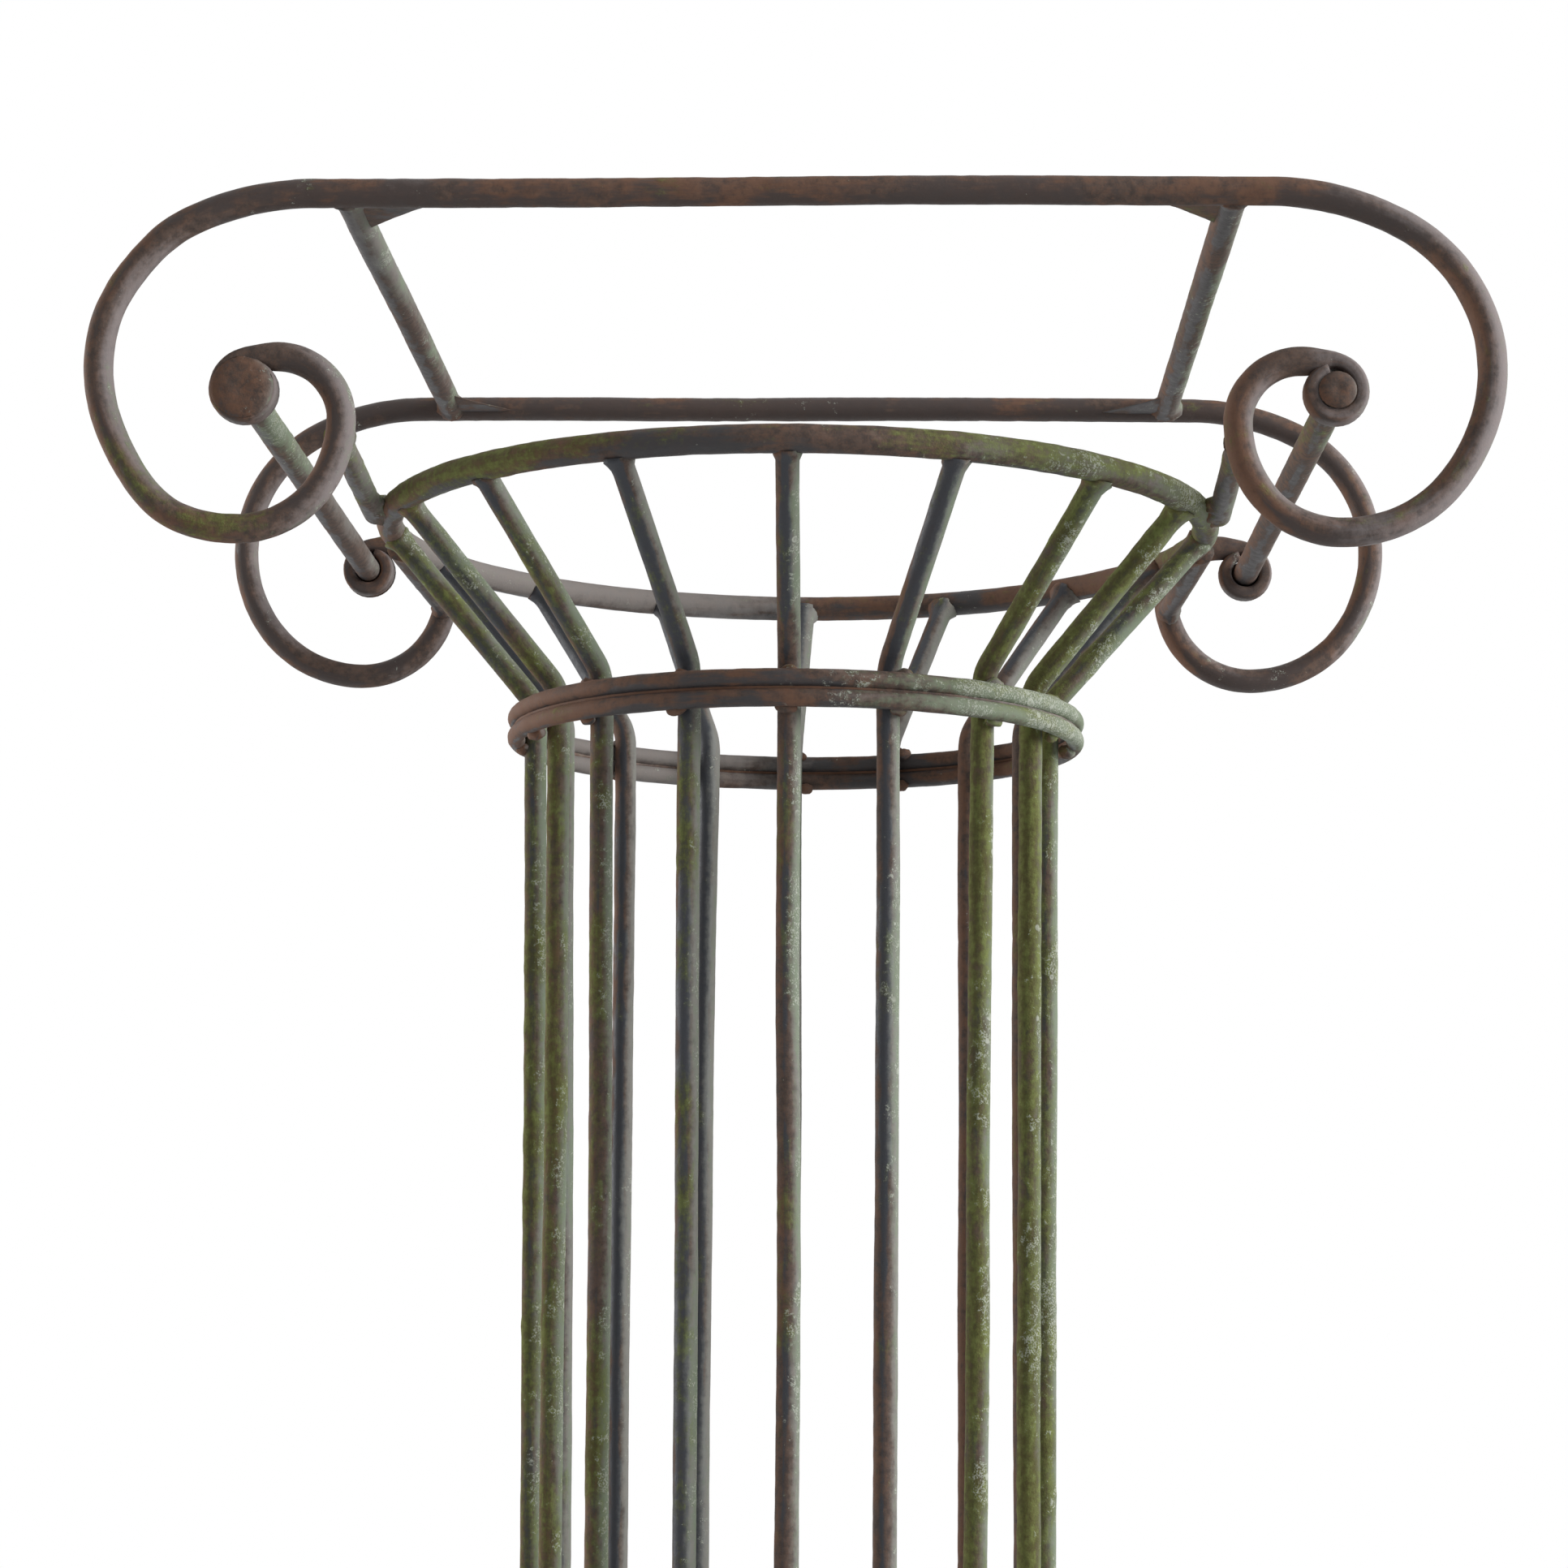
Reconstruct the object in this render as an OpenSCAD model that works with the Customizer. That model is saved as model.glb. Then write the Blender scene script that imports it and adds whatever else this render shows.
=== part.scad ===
// Garden column in the Ionic manner, made of round iron rod: a cage of upright
// rods held by rings, a flared bell under the capital, and two scrolls tied
// front to back. The origin is on the ground, on the column's axis; the scrolls
// face -Y and +Y.

/* [Overall] */
// Height from the ground to the top of the scrolls' bars
column_h = 2050; // [1600:10:2500]
// Number of upright rods
rod_count = 16; // [12:1:20]
// Radius from the column's axis to the centre of an upright rod
shaft_r = 112; // [90:1:135]

/* [Rod stock] */
// Diameter of the upright rods
shaft_rod_d = 10; // [8:0.5:12]
// Diameter of the rod in the bell ring and the foot ring
ring_rod_d = 12; // [10:0.5:15]
// Diameter of the rod in the paired bands at the neck and the base
band_rod_d = 8; // [6:0.5:10]
// Diameter of the rod in the scrolls
scroll_rod_d = 12; // [10:0.5:15]
// Diameter of the rods that run through the eyes of the scrolls
eye_rod_d = 12; // [9:0.5:15]
// Diameter of the carry rods
carry_rod_d = 10; // [8:0.5:12]
// Diameter of the crossbars
crossbar_d = 12; // [8:0.5:12]
// Gap left between two welded pieces
weld_gap = 0.2; // [0.1:0.05:0.4]
// How much thinner a rod is where bending has drawn it out
bend_thinning = 0.2; // [0.15:0.05:0.4]

/* [Bell and neck] */
// Radius of the bell ring's centre-line
bell_r = 178; // [148:1:214]
// Height of the bell ring above the middle of the neck bands
bell_rise = 89; // [70:1:110]
// Radius of the bends in the upright rods, on the centre-line
bend_r = 18; // [12:1:22]
// Height from the middle of a pair of bands to where the rods turn outwards
turn_offset = 12; // [11:0.5:16]

/* [Foot] */
// Radius of the foot ring's centre-line
foot_r = 165; // [148:1:200]
// Height of the middle of the base bands
base_band_h = 110; // [85:1:140]
// Depth dressed off under the foot ring, which leaves a flat to stand on
foot_flat_depth = 1; // [0.5:0.1:2]

/* [Scrolls] */
// Distance from the column's axis to the centre plane of each scroll
scroll_y = 179; // [149:1:215]
// Half the length of a scroll's straight top bar
bar_half = 188; // [170:1:226]
// Radius of a volute's first, easy bend
lead_r = 110; // [90:1:132]
// Angle turned by the easy bend
lead_turn = 28; // [20:1:34]
// Radius of the outer sweep
sweep_r = 66; // [55:1:80]
// Angle turned by the outer sweep
sweep_turn = 102; // [90:1:112]
// Radius of the bend that closes the sweep underneath
under_r = 57; // [48:1:68]
// Radius of the lower quarter of the inner coil
coil_low_r = 40; // [36:1:48]
// Radius of the upper quarter of the inner coil
coil_top_r = 25; // [22:1:30]
// Length over which the rod is drawn down before it curls round the eye
draw_len = 10; // [8:0.5:12]

/* [Eyes] */
// Thickness of the drawn-down curl, measured out from the eye
curl_t = 7; // [6:0.5:8]
// Width of the drawn-down curl, front to back
curl_w = 11; // [9:0.5:12]
// Chamfer along the edges of the curl
curl_chamfer = 2; // [1:0.25:2.5]
// How much wider the first quarter of the curl is than the rest
curl_lead = 3; // [2.5:0.25:4]
// Angle turned by the tight part of the curl
curl_turn = 200; // [150:5:200]
// Radius of the peened disc on each end of the left eye rod
disc_head_r = 12.5; // [10:0.5:13]
// Radius of the weld lump on each end of the right eye rod
lump_head_r = 7.5; // [6.5:0.5:9]
// Height of the heads on the eye rods
head_h = 2.5; // [2:0.25:3]

/* [Ties] */
// Distance that the bell ring lies below the innermost point of the coils
carry_drop = 6; // [2:1:9]
// Angle from the column's side to where a carry rod meets the bell ring
carry_seat_angle = 12; // [10:1:16]
// Distance from the column's axis to each crossbar
crossbar_x = 175; // [150:1:185]
// Length of a crossbar's wedge foot along the scroll's bar
wedge_len = 25; // [15:1:30]
// Length of a crossbar's wedge foot along the crossbar
wedge_run = 30; // [15:1:34]
// Distance that the wedge feet's underside lies below the middle of the crossbar
wedge_low = 3.5; // [2:0.5:4]
// Thickness of the wedge feet
wedge_t = 2; // [1.5:0.5:5]

/* [Hidden] */
$fn = 64;
// Numbers the rods 01, 02 and so on
function two_digits(n) = str(n < 10 ? "0" : "", n);
ROD_NODES = [for (i = [1:rod_count]) str("shaft_rod_", two_digits(i))];

// Length by which a thinned bend runs on inside the rod at each end
lap = 1;
// How much thinner the drawn-down tip is than the curl that it runs into
tip_inset = 1;
// Facets round the wide, shallow domes of the heads
dome_fn = 128;
// Angle turned under the volute, so that the three bends make half a turn
under_turn = 180 - lead_turn - sweep_turn;
// Where the coil begins, out from the bar's end and down from the bar
under_x = lead_r * sin(lead_turn)
    + sweep_r * (sin(lead_turn + sweep_turn) - sin(lead_turn))
    - under_r * sin(lead_turn + sweep_turn);
under_drop = lead_r * (1 - cos(lead_turn))
    + sweep_r * (cos(lead_turn) - cos(lead_turn + sweep_turn))
    + under_r * (1 + cos(lead_turn + sweep_turn));
// Radius of the curl's centre-line round the eye rod
curl_r = eye_rod_d / 2 + weld_gap + (curl_t - bend_thinning) / 2;
// The eye, out from the column's axis and down from the bar
eye_x = bar_half + under_x - coil_low_r + coil_top_r + draw_len + curl_lead;
eye_drop = under_drop - coil_low_r - coil_top_r + curl_lead + curl_r;

// Heights of the pieces
bar_z = column_h - scroll_rod_d / 2;
eye_z = bar_z - eye_drop;
bell_z = bar_z - under_drop + coil_low_r - carry_drop;
neck_z = bell_z - bell_rise;
foot_z = ring_rod_d / 2 - foot_flat_depth;
neck_turn_z = neck_z + turn_offset;
base_turn_z = base_band_h - turn_offset;

// The bands lie against the outside of the rods, one on the other
band_r = shaft_r + (shaft_rod_d + band_rod_d) / 2 + weld_gap;
band_step = (band_rod_d + weld_gap) / 2;

// The carry rods leave the back of the coils at the height of the bell ring
carry_x = bar_half + under_x - sqrt(pow(coil_low_r, 2) - pow(carry_drop, 2));
scroll_back_y = scroll_y - scroll_rod_d / 2 - weld_gap;

iron_brown = [0.34, 0.27, 0.23];
iron_dark = [0.22, 0.22, 0.23];
iron_mossy = [0.36, 0.38, 0.24];

// Angle that the lap takes up on a bend of radius r
function lap_turn(r) = lap / r * 180 / PI;

// A straight rod heading +X; its children start at its far end
module straight(d, len) {
    rotate([0, 90, 0]) cylinder(d = d, h = len);
    translate([len, 0, 0]) children();
}

// A rod that narrows from d1 to d2, heading +X, and laps on into what follows
module drawn_down(d1, d2, len) {
    rotate([0, 90, 0]) cylinder(d1 = d1, d2 = d2, h = len + lap);
    translate([len, 0, 0]) children();
}

// Carries the children's flat section round a bend that heads +X and turns down,
// and on by the angle `over` at each end
module sweep_bend(r, turn, over = 0) {
    translate([0, 0, -r]) rotate([90, 0, 0]) rotate([0, 0, 90 - turn - over])
        rotate_extrude(angle = turn + 2 * over) translate([r, 0]) children();
}

// Moves the children to the end of such a bend
module after_bend(r, turn) {
    translate([0, 0, -r]) rotate([0, turn, 0]) translate([0, 0, r]) children();
}

// A bend in round rod at its full diameter; its children start at its far end
module full_bend(d, r, turn) {
    sweep_bend(r, turn) circle(d = d);
    after_bend(r, turn) children();
}

// A bend where the rod has thinned a little; it laps into what it joins
module bend(d, r, turn) {
    sweep_bend(r, turn, lap_turn(r)) circle(d = d - bend_thinning);
    after_bend(r, turn) children();
}

// A ring of round rod about the column's axis
module ring(r, d, z) {
    translate([0, 0, z]) rotate_extrude() translate([r, 0]) circle(d = d);
}

// The curl's section: flattened rod with its edges knocked off
module curl_section(thinning = 0) {
    t = (curl_t - thinning) / 2;
    w = (curl_w - thinning) / 2;
    c = curl_chamfer;
    polygon([[t, w - c], [t - c, w], [c - t, w], [-t, w - c],
             [-t, c - w], [c - t, -w], [t - c, -w], [t, c - w]]);
}

// The outward turn of an upright rod and its straight run to a ring that lies
// `out` further from the axis and `rise` beyond the turning point
module flared_end(out, rise) {
    turn = atan2(out, rise);
    cut = bend_r * tan(turn / 2);
    bend(shaft_rod_d, bend_r, turn) straight(shaft_rod_d, norm([out, rise]) - cut);
}

// Length of upright rod taken up by the bend of a flared end
function bend_cut(out, rise) = bend_r * tan(atan2(out, rise) / 2);

// One upright rod: foot, base turn, shaft, neck turn and bell, with both ends
// coped to the rings that they butt against
module shaft_rod(i) {
    top = neck_turn_z - bend_cut(bell_r - shaft_r, bell_z - neck_turn_z);
    low = base_turn_z + bend_cut(foot_r - shaft_r, base_turn_z - foot_z);
    color(i % 2 == 0 ? iron_mossy : iron_dark)
    difference() {
        rotate([0, 0, -90 + (i - 1) * 360 / rod_count]) {
            translate([shaft_r, 0, low]) cylinder(d = shaft_rod_d, h = top - low);
            translate([shaft_r, 0, top]) rotate([0, -90, 0])
                flared_end(bell_r - shaft_r, bell_z - neck_turn_z);
            translate([shaft_r, 0, low]) mirror([0, 0, 1]) rotate([0, -90, 0])
                flared_end(foot_r - shaft_r, base_turn_z - foot_z);
        }
        ring(bell_r, ring_rod_d + 2 * weld_gap, bell_z);
        ring(foot_r, ring_rod_d + 2 * weld_gap, foot_z);
    }
}

module bell_ring() {
    color(iron_mossy) ring(bell_r, ring_rod_d, bell_z);
}

// One of the paired bands, above (side 1) or below (side -1) the middle height
module band(middle_z, side) {
    color(iron_brown) ring(band_r, band_rod_d, middle_z + side * band_step);
}

// The foot ring, with its underside dressed flat at the ground
module foot_ring() {
    color(iron_dark) difference() {
        ring(foot_r, ring_rod_d, foot_z);
        translate([0, 0, -ring_rod_d]) cylinder(r = foot_r + ring_rod_d, h = ring_rod_d);
    }
}

// A volute: three bends make the outer sweep, two make the coil, then the rod
// is drawn down and curls round the eye
module volute() {
    bend(scroll_rod_d, lead_r, lead_turn)
    full_bend(scroll_rod_d, sweep_r, sweep_turn)
    bend(scroll_rod_d, under_r, under_turn)
    full_bend(scroll_rod_d, coil_low_r, 90)
    bend(scroll_rod_d, coil_top_r, 90)
    drawn_down(scroll_rod_d, curl_t - tip_inset, draw_len) {
        sweep_bend(curl_r + curl_lead, 90) curl_section();
        after_bend(curl_r + curl_lead, 90) sweep_bend(curl_r, curl_turn, lap_turn(curl_r))
            curl_section(bend_thinning);
    }
}

// A scroll is one rod: a straight bar with a volute at each end
module scroll(side) {
    color(iron_brown) translate([0, side * scroll_y, bar_z]) {
        translate([-bar_half, 0, 0]) rotate([0, 90, 0])
            cylinder(d = scroll_rod_d, h = 2 * bar_half);
        translate([bar_half, 0, 0]) volute();
        mirror([1, 0, 0]) translate([bar_half, 0, 0]) volute();
    }
}

// A low domed head on the plane z = 0
module domed_head(r) {
    ball_r = (r * r + head_h * head_h) / (2 * head_h);
    intersection() {
        translate([0, 0, head_h - ball_r]) sphere(r = ball_r, $fn = dome_fn);
        cylinder(r = r, h = 2 * head_h);
    }
}

// A rod through the eyes of both scrolls, with a head on each end
module eye_rod(side, head_r) {
    half = scroll_y + curl_w / 2 + weld_gap;
    color(iron_mossy) translate([side * eye_x, 0, eye_z]) rotate([90, 0, 0]) {
        translate([0, 0, -half]) cylinder(d = eye_rod_d, h = 2 * half);
        translate([0, 0, half]) domed_head(head_r);
        mirror([0, 0, 1]) translate([0, 0, half]) domed_head(head_r);
    }
}

// A short rod from the back of a coil to the side of the bell ring, where a
// long scarf lies against the ring
module carry_rod(side_x, side_y) {
    scarf_r = bell_r + ring_rod_d / 2 + weld_gap;
    seat = scarf_r * [cos(carry_seat_angle), sin(carry_seat_angle)];
    run = seat - [carry_x, scroll_back_y];
    over = 4 * carry_rod_d;
    color(iron_mossy) mirror([side_x < 0 ? 1 : 0, 0, 0]) mirror([0, side_y < 0 ? 1 : 0, 0])
    translate([0, 0, bell_z]) difference() {
        translate([carry_x, scroll_back_y, 0]) rotate([0, 0, atan2(run[1], run[0])])
            rotate([0, 90, 0]) translate([0, 0, -over])
            cylinder(d = carry_rod_d, h = norm(run) + 2 * over);
        translate([0, scroll_back_y, -carry_rod_d])
            cube([2 * carry_x, 2 * over, 2 * carry_rod_d]);
        rotate([0, 0, carry_seat_angle]) translate([scarf_r - 3 * over, -3 * over, -carry_rod_d])
            cube([3 * over, 6 * over, 2 * carry_rod_d]);
    }
}

// A bar between the two scrolls' bars, with a wedge foot along each of them
module crossbar(side) {
    end_y = scroll_back_y;
    color(iron_brown) translate([side * crossbar_x, 0, bar_z]) {
        rotate([90, 0, 0]) translate([0, 0, -end_y]) cylinder(d = crossbar_d, h = 2 * end_y);
        for (end = [-1, 1])
            translate([0, end * end_y, -wedge_low]) linear_extrude(wedge_t)
                polygon([[0, 0], [-side * (crossbar_d / 2 + wedge_len), 0],
                         [0, -end * (crossbar_d / 2 + wedge_run)]]);
    }
}

for (i = [1:rod_count]) shaft_rod(i);
bell_ring();
band(neck_z, 1);  // upper_neck_band
band(neck_z, -1);  // lower_neck_band
band(base_band_h, 1);  // upper_base_band
band(base_band_h, -1);  // lower_base_band
foot_ring();
scroll(-1);  // front_scroll
scroll(1);  // back_scroll
eye_rod(-1, disc_head_r);  // left_eye_rod
eye_rod(1, lump_head_r);  // right_eye_rod
carry_rod(-1, -1);  // front_left_carry_rod
carry_rod(1, -1);  // front_right_carry_rod
carry_rod(-1, 1);  // back_left_carry_rod
carry_rod(1, 1);  // back_right_carry_rod
crossbar(-1);  // left_crossbar
crossbar(1);  // right_crossbar
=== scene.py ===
"""The visible surfaces and finishes of a garden column in the Ionic manner, made
of rusted iron rod: an open cage of upright rods, a flared bell, and two scrolls
tied front to back. Lengths are in metres. The column stands on the ground at the
origin, and its scrolls face -Y and +Y."""

import itertools
import math

import bpy
import numpy as np
from bpy.props import FloatProperty, FloatVectorProperty, IntProperty, PointerProperty
from mathutils import Matrix, Vector


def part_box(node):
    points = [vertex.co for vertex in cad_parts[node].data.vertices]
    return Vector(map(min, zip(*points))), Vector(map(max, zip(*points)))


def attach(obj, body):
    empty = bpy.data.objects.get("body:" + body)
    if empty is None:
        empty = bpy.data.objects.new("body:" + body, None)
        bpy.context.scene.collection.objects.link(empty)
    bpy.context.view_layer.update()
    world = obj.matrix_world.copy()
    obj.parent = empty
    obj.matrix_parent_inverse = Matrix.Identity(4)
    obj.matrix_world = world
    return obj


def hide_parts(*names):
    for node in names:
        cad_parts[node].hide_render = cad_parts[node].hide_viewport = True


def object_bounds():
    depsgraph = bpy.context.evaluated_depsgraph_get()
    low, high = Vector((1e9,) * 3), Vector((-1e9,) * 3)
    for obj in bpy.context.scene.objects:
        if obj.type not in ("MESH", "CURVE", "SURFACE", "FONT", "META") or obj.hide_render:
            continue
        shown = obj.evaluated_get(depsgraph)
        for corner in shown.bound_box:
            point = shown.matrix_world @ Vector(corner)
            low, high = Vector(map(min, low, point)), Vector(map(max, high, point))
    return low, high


bl_info = {
    "name": "Wirework Ionic Column",
    "version": (1, 0, 0),
    "blender": (4, 5, 0),
    "location": "3D View > Sidebar > Column",
    "description": "Builds a rusted wirework column round its CAD frame",
    "category": "Add Mesh",
}

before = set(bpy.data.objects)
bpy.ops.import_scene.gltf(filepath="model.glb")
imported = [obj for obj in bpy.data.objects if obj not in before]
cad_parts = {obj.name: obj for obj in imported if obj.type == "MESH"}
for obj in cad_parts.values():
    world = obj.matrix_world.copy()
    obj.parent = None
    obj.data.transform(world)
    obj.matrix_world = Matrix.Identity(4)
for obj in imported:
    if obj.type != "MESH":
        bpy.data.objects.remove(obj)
CAD_BOX = np.array([list(corner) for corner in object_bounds()])

TURN = 2 * math.pi
ROD_NODES = sorted(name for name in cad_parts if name.startswith("shaft_rod_"))


# ---------------------------------------------------------------- what the frame says

def middle(node):
    """The middle of a CAD node's box."""
    low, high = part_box(node)
    return (np.array(low) + np.array(high)) / 2


def extent(node):
    """The three sides of a CAD node's box."""
    low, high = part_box(node)
    return np.array(high) - np.array(low)


def ring_measures(node):
    """Centre-line radius, rod diameter and height of a whole ring."""
    size = extent(node)
    return (size[0] - size[2]) / 2, size[2], middle(node)[2]


BELL_R, RING_D, BELL_Z = ring_measures("bell_ring")
BAND_R, BAND_D, UPPER_NECK_Z = ring_measures("upper_neck_band")
LOWER_NECK_Z = middle("lower_neck_band")[2]
UPPER_BASE_Z = middle("upper_base_band")[2]
LOWER_BASE_Z = middle("lower_base_band")[2]
FOOT_R = (extent("foot_ring")[0] - RING_D) / 2
FOOT_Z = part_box("foot_ring")[1][2] - RING_D / 2
SIDE_ROD = ROD_NODES[len(ROD_NODES) // 4]
ROD_D = extent(SIDE_ROD)[1]
SHAFT_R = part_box(SIDE_ROD)[0][0] + ROD_D / 2
SCROLL_Y = middle("back_scroll")[1]
SCROLL_D = extent("back_scroll")[1]
BAR_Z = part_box("back_scroll")[1][2] - SCROLL_D / 2
EYE_X, _, EYE_Z = middle("right_eye_rod")
CROSSBAR_D = extent("right_crossbar")[2]


# ---------------------------------------------------------------- settings

def length(name, description, value):
    """A length setting, in metres."""
    return FloatProperty(name=name, description=description, default=value, unit="LENGTH")


def angle(name, description, degrees):
    """An angle setting, given in degrees."""
    return FloatProperty(name=name, description=description, default=math.radians(degrees),
                         subtype="ANGLE")


def colour(name, description, value):
    """A colour setting, as linear red, green and blue."""
    return FloatVectorProperty(
        name=name, description=description, default=value, size=3, subtype="COLOR",
        min=0, max=1)


class ColumnSizes(bpy.types.PropertyGroup):
    """Bends and stock that the frame's boxes don't give."""

    bend_r: length("Rod bend", "Radius of the bends in the upright rods", 0.018)
    turn_offset: length("Turn offset", "Height from the middle of two bands to the bend", 0.012)
    bar_half: length("Half bar", "Half the length of a scroll's straight bar", 0.188)
    lead_r: length("Easy bend", "Radius of a volute's first bend", 0.110)
    lead_turn: angle("Easy turn", "Angle of a volute's first bend", 28)
    sweep_r: length("Outer sweep", "Radius of a volute's outer sweep", 0.066)
    sweep_turn: angle("Sweep turn", "Angle of the outer sweep", 102)
    under_r: length("Under bend", "Radius of the bend under a volute", 0.057)
    coil_low_r: length("Low coil", "Radius of the coil's lower quarter", 0.040)
    coil_top_r: length("Top coil", "Radius of the coil's upper quarter", 0.025)
    draw_len: length("Draw", "Length over which the rod is drawn down", 0.010)
    curl_r: length("Curl", "Radius of the curl round an eye rod", 0.0096)
    curl_lead: length("Curl lead", "How much wider the curl's first quarter is", 0.003)
    curl_turn: angle("Curl turn", "Angle of the tight part of the curl, with its weld", 250)
    curl_t: length("Curl thickness", "Thickness of the drawn-down curl", 0.0068)
    curl_w: length("Curl width", "Width of the drawn-down curl", 0.0110)
    eye_rod_d: length("Eye rod", "Diameter of the rods through the eyes", 0.012)
    disc_r: length("Disc head", "Radius of the left eye rod's peened heads", 0.0125)
    lump_r: length("Lump head", "Radius of the right eye rod's weld lumps", 0.0075)
    carry_d: length("Carry rod", "Diameter of the carry rods", 0.010)
    carry_seat: angle("Carry seat", "Angle from the side to a carry rod's seat", 12)
    wedge_len: length("Wedge length", "Length of a wedge foot along the scroll's bar", 0.025)
    wedge_run: length("Wedge run", "Length of a wedge foot along the crossbar", 0.030)
    wedge_low: length("Wedge drop", "Depth of the wedges' underside below the bars' middle", 0.0035)
    wedge_t: length("Wedge thickness", "Thickness of the wedge feet", 0.002)
    weld_leg: length("Weld leg", "Usual size of a weld's fillet", 0.0024)
    seam_r: length("Seam", "Half the width of the rust between two bands", 0.0017)
    sag: length("Sag", "How far the rods stray from true", 0.0006)
    mesh_step: length("Mesh step", "Spacing of the mesh along a rod", 0.0022)


class ColumnFinish(bpy.types.PropertyGroup):
    """Colours of the iron and of what grows on it."""

    brown: colour("Rust brown", "Old, tight rust", (0.100, 0.068, 0.054))
    umber: colour("Umber", "The darkest rust", (0.046, 0.033, 0.028))
    # Fresh rust is also laid more on the side towards -X, away from the key light, as painted shade
    orange: colour("Fresh rust", "Orange, open rust", (0.205, 0.092, 0.048))
    # Scale is also laid as painted shade, in a band where the key light from +X fades out
    scale: colour("Scale", "Blue-black forge scale", (0.034, 0.040, 0.050))
    # This grey lilac is worn rust, and is also laid as painted highlight on the side towards +X,
    # where the key light falls
    bleached: colour("Bleached iron", "Rust worn to a grey lilac", (0.250, 0.226, 0.222))
    # Algae and lichen are also laid more on the side towards +X, where the key light falls, as
    # painted light
    algae: colour("Algae", "Thin green-grey film", (0.165, 0.212, 0.138))
    moss: colour("Moss", "Olive moss", (0.084, 0.080, 0.023))
    moss_tip: colour("Moss tips", "Fresh yellow-green tips", (0.165, 0.190, 0.052))
    lichen: colour("Lichen", "Pale crusts of lichen", (0.430, 0.450, 0.390))


class ColumnStage(bpy.types.PropertyGroup):
    """Camera, light and floor."""

    eye: FloatVectorProperty(
        name="Camera", description="Place of the camera",
        default=(0.037, -1.583, 1.609), size=3, subtype="TRANSLATION")
    lens: FloatProperty(
        name="Lens", description="Focal length in millimetres on a 36 mm frame",
        default=84.55, unit="CAMERA")
    pitch: angle("Pitch", "Angle that the camera looks up", 8.046)
    yaw: angle("Yaw", "Angle that the camera is turned to the left", 1.518)
    roll: angle("Roll", "Angle that the camera leans to its left", 0.524)
    key: FloatProperty(
        name="Key light", description="Power of the large light on the right, in watts",
        default=162.0)
    rim: FloatProperty(
        name="Rim light", description="Power of the light behind on the left, in watts",
        default=66.0)
    sky: FloatProperty(
        name="Sky", description="Strength of the even light from all round",
        default=0.33)
    floor_tone: FloatProperty(
        name="Floor tone", description="How pale the floor is", default=0.80)
    seed: IntProperty(
        name="Seed", description="Start of every random draw", default=11)


SETTINGS = {"column_sizes": ColumnSizes, "column_finish": ColumnFinish,
            "column_stage": ColumnStage}


# ---------------------------------------------------------------- noise

LATTICE_SIDE = 64
LATTICE_SEED = 11
LATTICE = np.random.default_rng(LATTICE_SEED).random((LATTICE_SIDE,) * 3)
SEED_SHIFT = 7.31


def ease(t):
    """The curve 3t^2 - 2t^3, held between 0 and 1."""
    t = np.clip(t, 0, 1)
    return t * t * (3 - 2 * t)


def band_ease(low, high, value):
    """Rises smoothly from 0 to 1 as value goes from low to high."""
    return ease((value - low) / (high - low))


def noise(points, cell, seed=0):
    """Value noise from 0 to 1: random values stand at the corners of cubes with
    sides of `cell`, and are blended along each axis by the curve 3t^2 - 2t^3. Each
    seed reads the corners from another place."""
    place = np.asarray(points) / cell + seed * SEED_SHIFT
    corner = np.floor(place).astype(int)
    t = ease(place - corner)
    total = np.zeros(place.shape[:-1])
    for step in itertools.product((0, 1), repeat=3):
        at = (corner + step) % LATTICE_SIDE
        weight = np.prod(np.where(step, t, 1 - t), axis=-1)
        total += weight * LATTICE[at[..., 0], at[..., 1], at[..., 2]]
    return total


def rough(points, cell, octaves=3, seed=0):
    """Several layers of noise, each half the size and strength of the last,
    from about -1 to 1."""
    total, weight, whole = 0.0, 1.0, 0.0
    for layer in range(octaves):
        total = total + weight * (2 * noise(points, cell / 2**layer, seed + layer) - 1)
        whole += weight
        weight /= 2
    return 1.6 * total / whole


# ---------------------------------------------------------------- rods as swept grids

class Line:
    """The centre line of a rod: points, directions, and the two axes of its
    section, `inward` in the plane of the bends and `across` square to it."""

    def __init__(self, points, heading, inward, across, run, closed=False):
        self.points, self.heading = points, heading
        self.inward, self.across = inward, across
        self.run, self.closed = run, closed


def plane_line(start, angle, legs, step, origin, side, up):
    """Follows legs (length, turn) in the plane of the axes `side` and `up`. Along
    a leg the heading is angle + turn * t / length, and the position is the
    integral of its cosine and sine: a straight run, or an arc of a circle."""
    xs, zs, headings, runs, run = [], [], [], [], 0.0
    x, z = start
    for length, turn in legs:
        t = np.linspace(0, length, max(2, int(round(length / step)) + 1))
        now = angle + turn * t / length
        if turn:
            r = length / turn
            px = x + r * (np.sin(now) - math.sin(angle))
            pz = z - r * (np.cos(now) - math.cos(angle))
        else:
            px, pz = x + t * math.cos(angle), z + t * math.sin(angle)
        keep = slice(1 if xs else 0, None)
        for store, value in ((xs, px), (zs, pz), (headings, now), (runs, run + t)):
            store.append(value[keep])
        x, z, angle, run = px[-1], pz[-1], now[-1], run + length
    x, z, heading, run = map(np.concatenate, (xs, zs, headings, runs))
    side, up = np.array(side, float), np.array(up, float)
    cos, sin = np.cos(heading)[:, None], np.sin(heading)[:, None]
    points = np.array(origin) + x[:, None] * side + z[:, None] * up
    across = np.broadcast_to(np.cross(side, up), points.shape)
    return Line(points, cos * side + sin * up, cos * up - sin * side, across, run)


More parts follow.
